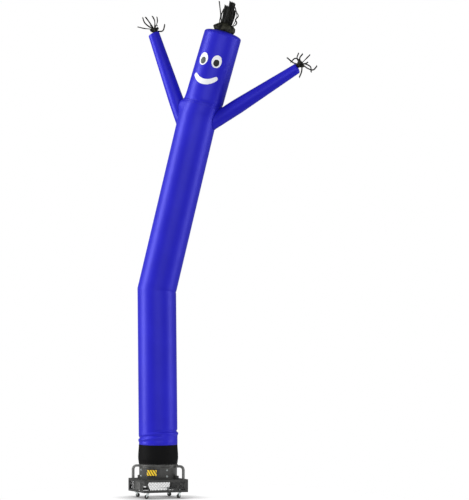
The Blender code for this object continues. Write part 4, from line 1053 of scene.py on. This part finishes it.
def wall_point(heading, along, depth, height):
    """A point along a wall of the base, behind its outer face and over its lower edge."""
    run = Vector((math.cos(heading), math.sin(heading), 0))
    outward = Vector((math.sin(heading), -math.cos(heading), 0))
    start = STAND + outward * (BASE_SIDE / 2) - run * (BASE_SIDE / 2)
    return start + run * along - outward * depth + Vector((0, 0, BASE_LOW + height))


def clear_of_arch(x, y, middle, half_width):
    reach_x = (x - middle) / (half_width + DIAMOND[0] + 0.005)
    reach_y = (y - ARCH_LOW) / (ARCH_RISE + DIAMOND[1] + 0.003)
    return reach_x ** 2 + reach_y ** 2 > 1


for number, (letter, arch, corner, perforated, window) in enumerate((
    ("a", 0.082, LENGTH, True, True), ("b", LENGTH - 0.082, 0.0, True, False),
    ("c", None, None, False, False), ("d", None, None, True, False),
)):
    if letter == "a":
        notch = arc(LENGTH, ARCH_LOW, CORNER_ARCH, ARCH_RISE, 180, 90, 20)
        edge = [(0.0, 0.0), (LENGTH, 0.0), (LENGTH, ARCH_LOW), *notch, (LENGTH, HEIGHT), (0.0, HEIGHT)]
    elif letter == "b":
        notch = arc(0.0, ARCH_LOW, CORNER_ARCH, ARCH_RISE, 90, 0, 20) + [(0.0, ARCH_LOW)]
        edge = [(LENGTH, 0.0), (LENGTH, HEIGHT), (0.0, HEIGHT), *notch, (0.0, 0.0)]
    else:
        below = NOTCH if letter == "d" else ()
        edge = [(0.0, 0.0), *below, (LENGTH, 0.0), (LENGTH, HEIGHT), (0.0, HEIGHT)]
    outlines = [edge]
    for row in range(5 if perforated else 0):
        y = 0.0410 + row * PITCH[1] / 2
        count = int((LENGTH - 0.052) / PITCH[0])
        for column in range(count - row % 2):
            x = (LENGTH - (count - 1 - row % 2) * PITCH[0]) / 2 + column * PITCH[0]
            free = corner is None or clear_of_arch(x, y, corner, CORNER_ARCH)
            free = free and (letter != "d" or x > NOTCH[2][0] + DIAMOND[0] + 0.010)
            free = free and (arch is None or clear_of_arch(x, y, arch, ARCH_HALF))
            free = free and not (window and WINDOW[0] - 0.028 < x < WINDOW[1] + 0.014)
            if free:
                wide, tall = DIAMOND
                outlines.append([(x - wide, y), (x, y - tall), (x + wide, y), (x, y + tall)])
    if arch is not None:
        outlines.append(arc(arch, ARCH_LOW, ARCH_HALF, ARCH_RISE, 180, 0, 32))
    if window:
        left, right, low, high = WINDOW
        outlines.append([(left, low), (right, low), (right, high), (left, high)])
    wall = cut_sheet(outlines, SHEET)
    heading = math.radians(-45 + 90 * number) + BASE_TURN
    wall.rotation_euler = (math.radians(90), 0, heading)
    wall.location = wall_point(heading, 0, SHEET / 2, 0)
    settled(wall, f"wall_{letter}_sheet", shaded_base_coat, "root", f"wall_{letter}", angle=20, slot="grey_steel")

bpy.ops.mesh.primitive_cube_add(size=1, location=STAND + Vector((0, 0, BASE_HIGH - SHEET / 2)),
                                scale=(BASE_SIDE, BASE_SIDE, SHEET))
deck = bpy.context.object
deck.rotation_euler.z = BASE_TURN + math.radians(45)
eased(deck, 0.0011)
bpy.ops.mesh.primitive_cylinder_add(vertices=128, radius=0.2233, depth=0.05,
                                    location=STAND + Vector((0, 0, BASE_HIGH)))
punch = bpy.context.object
cut_round(deck, punch)
bpy.data.objects.remove(punch)
settled(deck, "deck_sheet", shaded_base_coat, "root", "deck", slot="grey_steel")

# Guide plate: a thin sheet riveted beside the window and bent in towards the fan.
left, right, low, high = WINDOW
heading = math.radians(-45) + BASE_TURN
rows = []
for step in range(41):
    share = step / 40
    depth = SHEET + GAP + 0.058 * max(0.0, share - 0.12) ** 1.7
    along = left - 0.014 + 0.175 * share
    rows.append([wall_point(heading, along, depth, low + (high - low) * level / 6) for level in range(7)])
guide = cloth_grid("guide_plate_sheet", rows, around=False, wall=0)
choose(guide)
thicken = guide.modifiers.new("Wall", "SOLIDIFY")
thicken.thickness = 0.0015
thicken.offset = 1
apply_all(guide)
settled(guide, "guide_plate_sheet", powder_coat, "root", "guide_plate")
for number, height in enumerate((low + 0.014, high - 0.014), 1):
    rivet = lathed((
        (0, 0.0030), (0.0018, 0.0028), (0.0036, 0.0020), (0.0048, 0.0004), (0.0048, 0), (0, 0),
    ), steps=24)
    rivet.rotation_euler = (math.radians(90), 0, heading)
    rivet.location = wall_point(heading, left - 0.008, -GAP, height)
    settled(rivet, f"rivet_{number}_head", zinc, "root", f"rivet_{number}")

# Drum: the round fan housing, rolled from sheet steel and powder-coated, with a bead under the heavy
# rolled ring on its top. Dome-headed bolts in two rows hold the fan inside it.
drum = lathed((
    (0.2205, 0.366), (0.2222, 0.3657), (0.2226, 0.3645), (0.2226, 0.3580), (0.2238, 0.3565),
    (0.2242, 0.3545), (0.2238, 0.3525), (0.2228, 0.3510), (0.2228, 0.1912), (0.2222, 0.1902),
    (0.2205, 0.1900),
    (0.2205, 0.366),
), steps=128)
drum.location = STAND
settled(drum, "drum_housing", powder_coat, "root", "drum")
ring = lathed((
    (0.2175, 0.3900), (0.2290, 0.3900), (0.2312, 0.3894), (0.2328, 0.3880), (0.2335, 0.3860),
    (0.2335, 0.3690),
    (0.2330, 0.3672), (0.2318, 0.3663), (0.2175, 0.3663), (0.2175, 0.3900),
), steps=128)
ring.location = STAND
settled(ring, "drum_ring_steel", powder_coat, "root", "drum_ring")
number = 0
for turn in (-135, -45, 45, 135):
    for height in (0.258, 0.330):
        number += 1
        bolt = lathed((
            (0, 0.0048), (0.0028, 0.0048), (0.0030, 0.0084), (0.0044, 0.0086), (0.0072, 0.0070),
            (0.0092, 0.0042),
            (0.0096, 0.0022), (0.0120, 0.0020), (0.0125, 0.0014), (0.0125, 0), (0, 0),
        ), steps=32)
        bolt.rotation_euler = (0, math.radians(90), math.radians(turn))
        bolt.location = STAND + polar(math.radians(turn), 0.2234, height)
        settled(bolt, f"bolt_{number}_head", zinc, "root", f"bolt_{number}")

# Handles: two of square steel tube with rounded corners, welded to the deck and to the ring and bent once.
# Blocks: under each handle, a block that clamps the drum to the deck.
HANDLE_REACH, HANDLE_HEIGHT, HANDLE_WIDTH, HANDLE_BEND = 0.325, 0.370, 0.028, 0.045
rubbed_coat = metal("rubbed_steel", (0.20, 0.20, 0.195, 1), (0.13, 0.13, 0.127, 1), 420.0, 0.0005,
                    Roughness=0.42, Metallic=0.4)
for side, turn in (("left", math.pi), ("right", 0.0)):
    turn += BASE_TURN
    bpy.ops.object.select_all(action="DESELECT")
    bpy.ops.mesh.primitive_plane_add(size=HANDLE_WIDTH, location=(HANDLE_REACH, 0, BASE_HIGH + GAP))
    bpy.ops.object.mode_set(mode="EDIT")
    bpy.ops.mesh.bevel(offset=0.0055, segments=5, affect="VERTICES")
    bpy.ops.mesh.select_all(action="SELECT")
    rise = HANDLE_HEIGHT - HANDLE_BEND - BASE_HIGH - GAP
    bpy.ops.mesh.extrude_region_move(TRANSFORM_OT_translate={"value": (0, 0, rise)})
    bend = (HANDLE_REACH - HANDLE_BEND, 0, HANDLE_HEIGHT - HANDLE_BEND)
    bpy.ops.mesh.spin(steps=14, angle=math.radians(90), center=bend, axis=(0, 1, 0))
    reach = HANDLE_REACH - HANDLE_BEND - 0.2338
    bpy.ops.mesh.extrude_region_move(TRANSFORM_OT_translate={"value": (-reach, 0, 0)})
    bpy.ops.mesh.select_all(action="SELECT")
    bpy.ops.mesh.normals_make_consistent(inside=False)
    bpy.ops.object.mode_set(mode="OBJECT")
    handle = bpy.context.object
    bpy.ops.object.transform_apply(location=True, rotation=True, scale=True)
    handle.rotation_euler.z = turn
    handle.location = STAND
    settled(handle, f"handle_{side}_tube", rubbed_coat, "root", f"handle_{side}", slot="grey_steel")
    bpy.ops.mesh.primitive_cube_add(size=1, location=(0.2233 + 0.0175, 0, 0.019),
                                    scale=(0.035, 0.044, 0.038))
    block = eased(bpy.context.object, 0.004)
    choose(block)
    bpy.ops.object.transform_apply(location=True, rotation=True, scale=True)
    block.rotation_euler.z = turn
    block.location = STAND + Vector((0, 0, BASE_HIGH + GAP))
    settled(block, f"block_{side}_steel", powder_coat, "root", f"block_{side}")

# Label: a thin black plate bowed to the drum, with a plain yellow panel crossed by slanting black bars.
LABEL_WIDTH, LABEL_HEIGHT, LABEL_LOW, LABEL_RADIUS = 0.170, 0.099, 0.249, 0.2233
rows = []
for step in range(33):
    angle = FRONT + (step / 32 - 0.5) * LABEL_WIDTH / LABEL_RADIUS
    heights = [LABEL_LOW + LABEL_HEIGHT * level / 12 for level in range(13)]
    rows.append([STAND + polar(angle, LABEL_RADIUS, height) for height in heights])
label = cloth_grid("label_plate", rows, around=False, wall=0)
choose(label)
bpy.ops.object.mode_set(mode="EDIT")
bpy.ops.mesh.select_all(action="SELECT")
bpy.ops.mesh.normals_make_consistent(inside=False)
bpy.ops.object.mode_set(mode="OBJECT")
thicken = label.modifiers.new("Wall", "SOLIDIFY")
thicken.thickness = 0.001
thicken.offset = 1
apply_all(label)
plate, tree, shader = new_material("plate", Roughness=0.36)
laid = wire(tree, "ShaderNodeUVMap", uv_map="cut").outputs["UV"]
apart = wire(tree, "ShaderNodeSeparateXYZ", {0: laid})
# The plate was laid in strips from left to right, so its length runs along the map's Y
printed = 1.0
for part, low, high in (("Y", 0.014, 0.136), ("X", 0.016, 0.083)):
    printed = calc(tree, "MULTIPLY", printed, calc(tree, "GREATER_THAN", apart.outputs[part], low))
    printed = calc(tree, "MULTIPLY", printed, calc(tree, "LESS_THAN", apart.outputs[part], high))
slope = calc(tree, "ADD", apart.outputs["Y"], calc(tree, "MULTIPLY", apart.outputs["X"], 0.6))
bars = calc(tree, "SINE", calc(tree, "MULTIPLY", slope, 2 * math.pi / 0.034))
printed = calc(tree, "MULTIPLY", printed, calc(tree, "GREATER_THAN", bars, -0.45))
scuff = mottle(tree, laid, 60.0, 4.0)
black = mixed(tree, scuff, (0.006, 0.006, 0.008, 1), (0.012, 0.012, 0.014, 1))
yellow = mixed(tree, scuff, (0.85, 0.58, 0.02, 1), (0.78, 0.50, 0.015, 1))
tree.links.new(mixed(tree, printed, black, yellow), shader.inputs["Base Color"])
settled(label, "label_plate", plate, "root", "label")

# Collar and rim: the ribbed black collar that the sleeve grips, and the rolled rim over it. The sleeve
# hides them, so the CAD pieces stay, with their finishes.
ribbed, tree, shader = new_material("black_steel", Base_Color=(0.010, 0.010, 0.010, 1), Metallic=0.2,
                                    Roughness=0.5)
place = wire(tree, "ShaderNodeTexCoord").outputs["Object"]
apart = wire(tree, "ShaderNodeSeparateXYZ", {0: place})
right = calc(tree, "SUBTRACT", apart.outputs["X"], STAND.x)
back = calc(tree, "SUBTRACT", apart.outputs["Y"], STAND.y)
turn = calc(tree, "ARCTAN2", back, right)
ribs = calc(tree, "SINE", calc(tree, "MULTIPLY", turn, 220.0))
gloss = ramped(tree, mottle(tree, place, 30.0, 4.0), 0.0, 1.0, 0.42, 0.62)
tree.links.new(gloss, shader.inputs["Roughness"])
rib_skin = wire(tree, "ShaderNodeBump", {"Height": ribs, "Distance": 0.0008, "Strength": 0.8})
tree.links.new(rib_skin.outputs[0], shader.inputs["Normal"])
for node, finish in (("collar", ribbed), ("rim", powder_coat)):
    frame["nodes"][node].data.materials.clear()
    frame["nodes"][node].data.materials.append(finish)
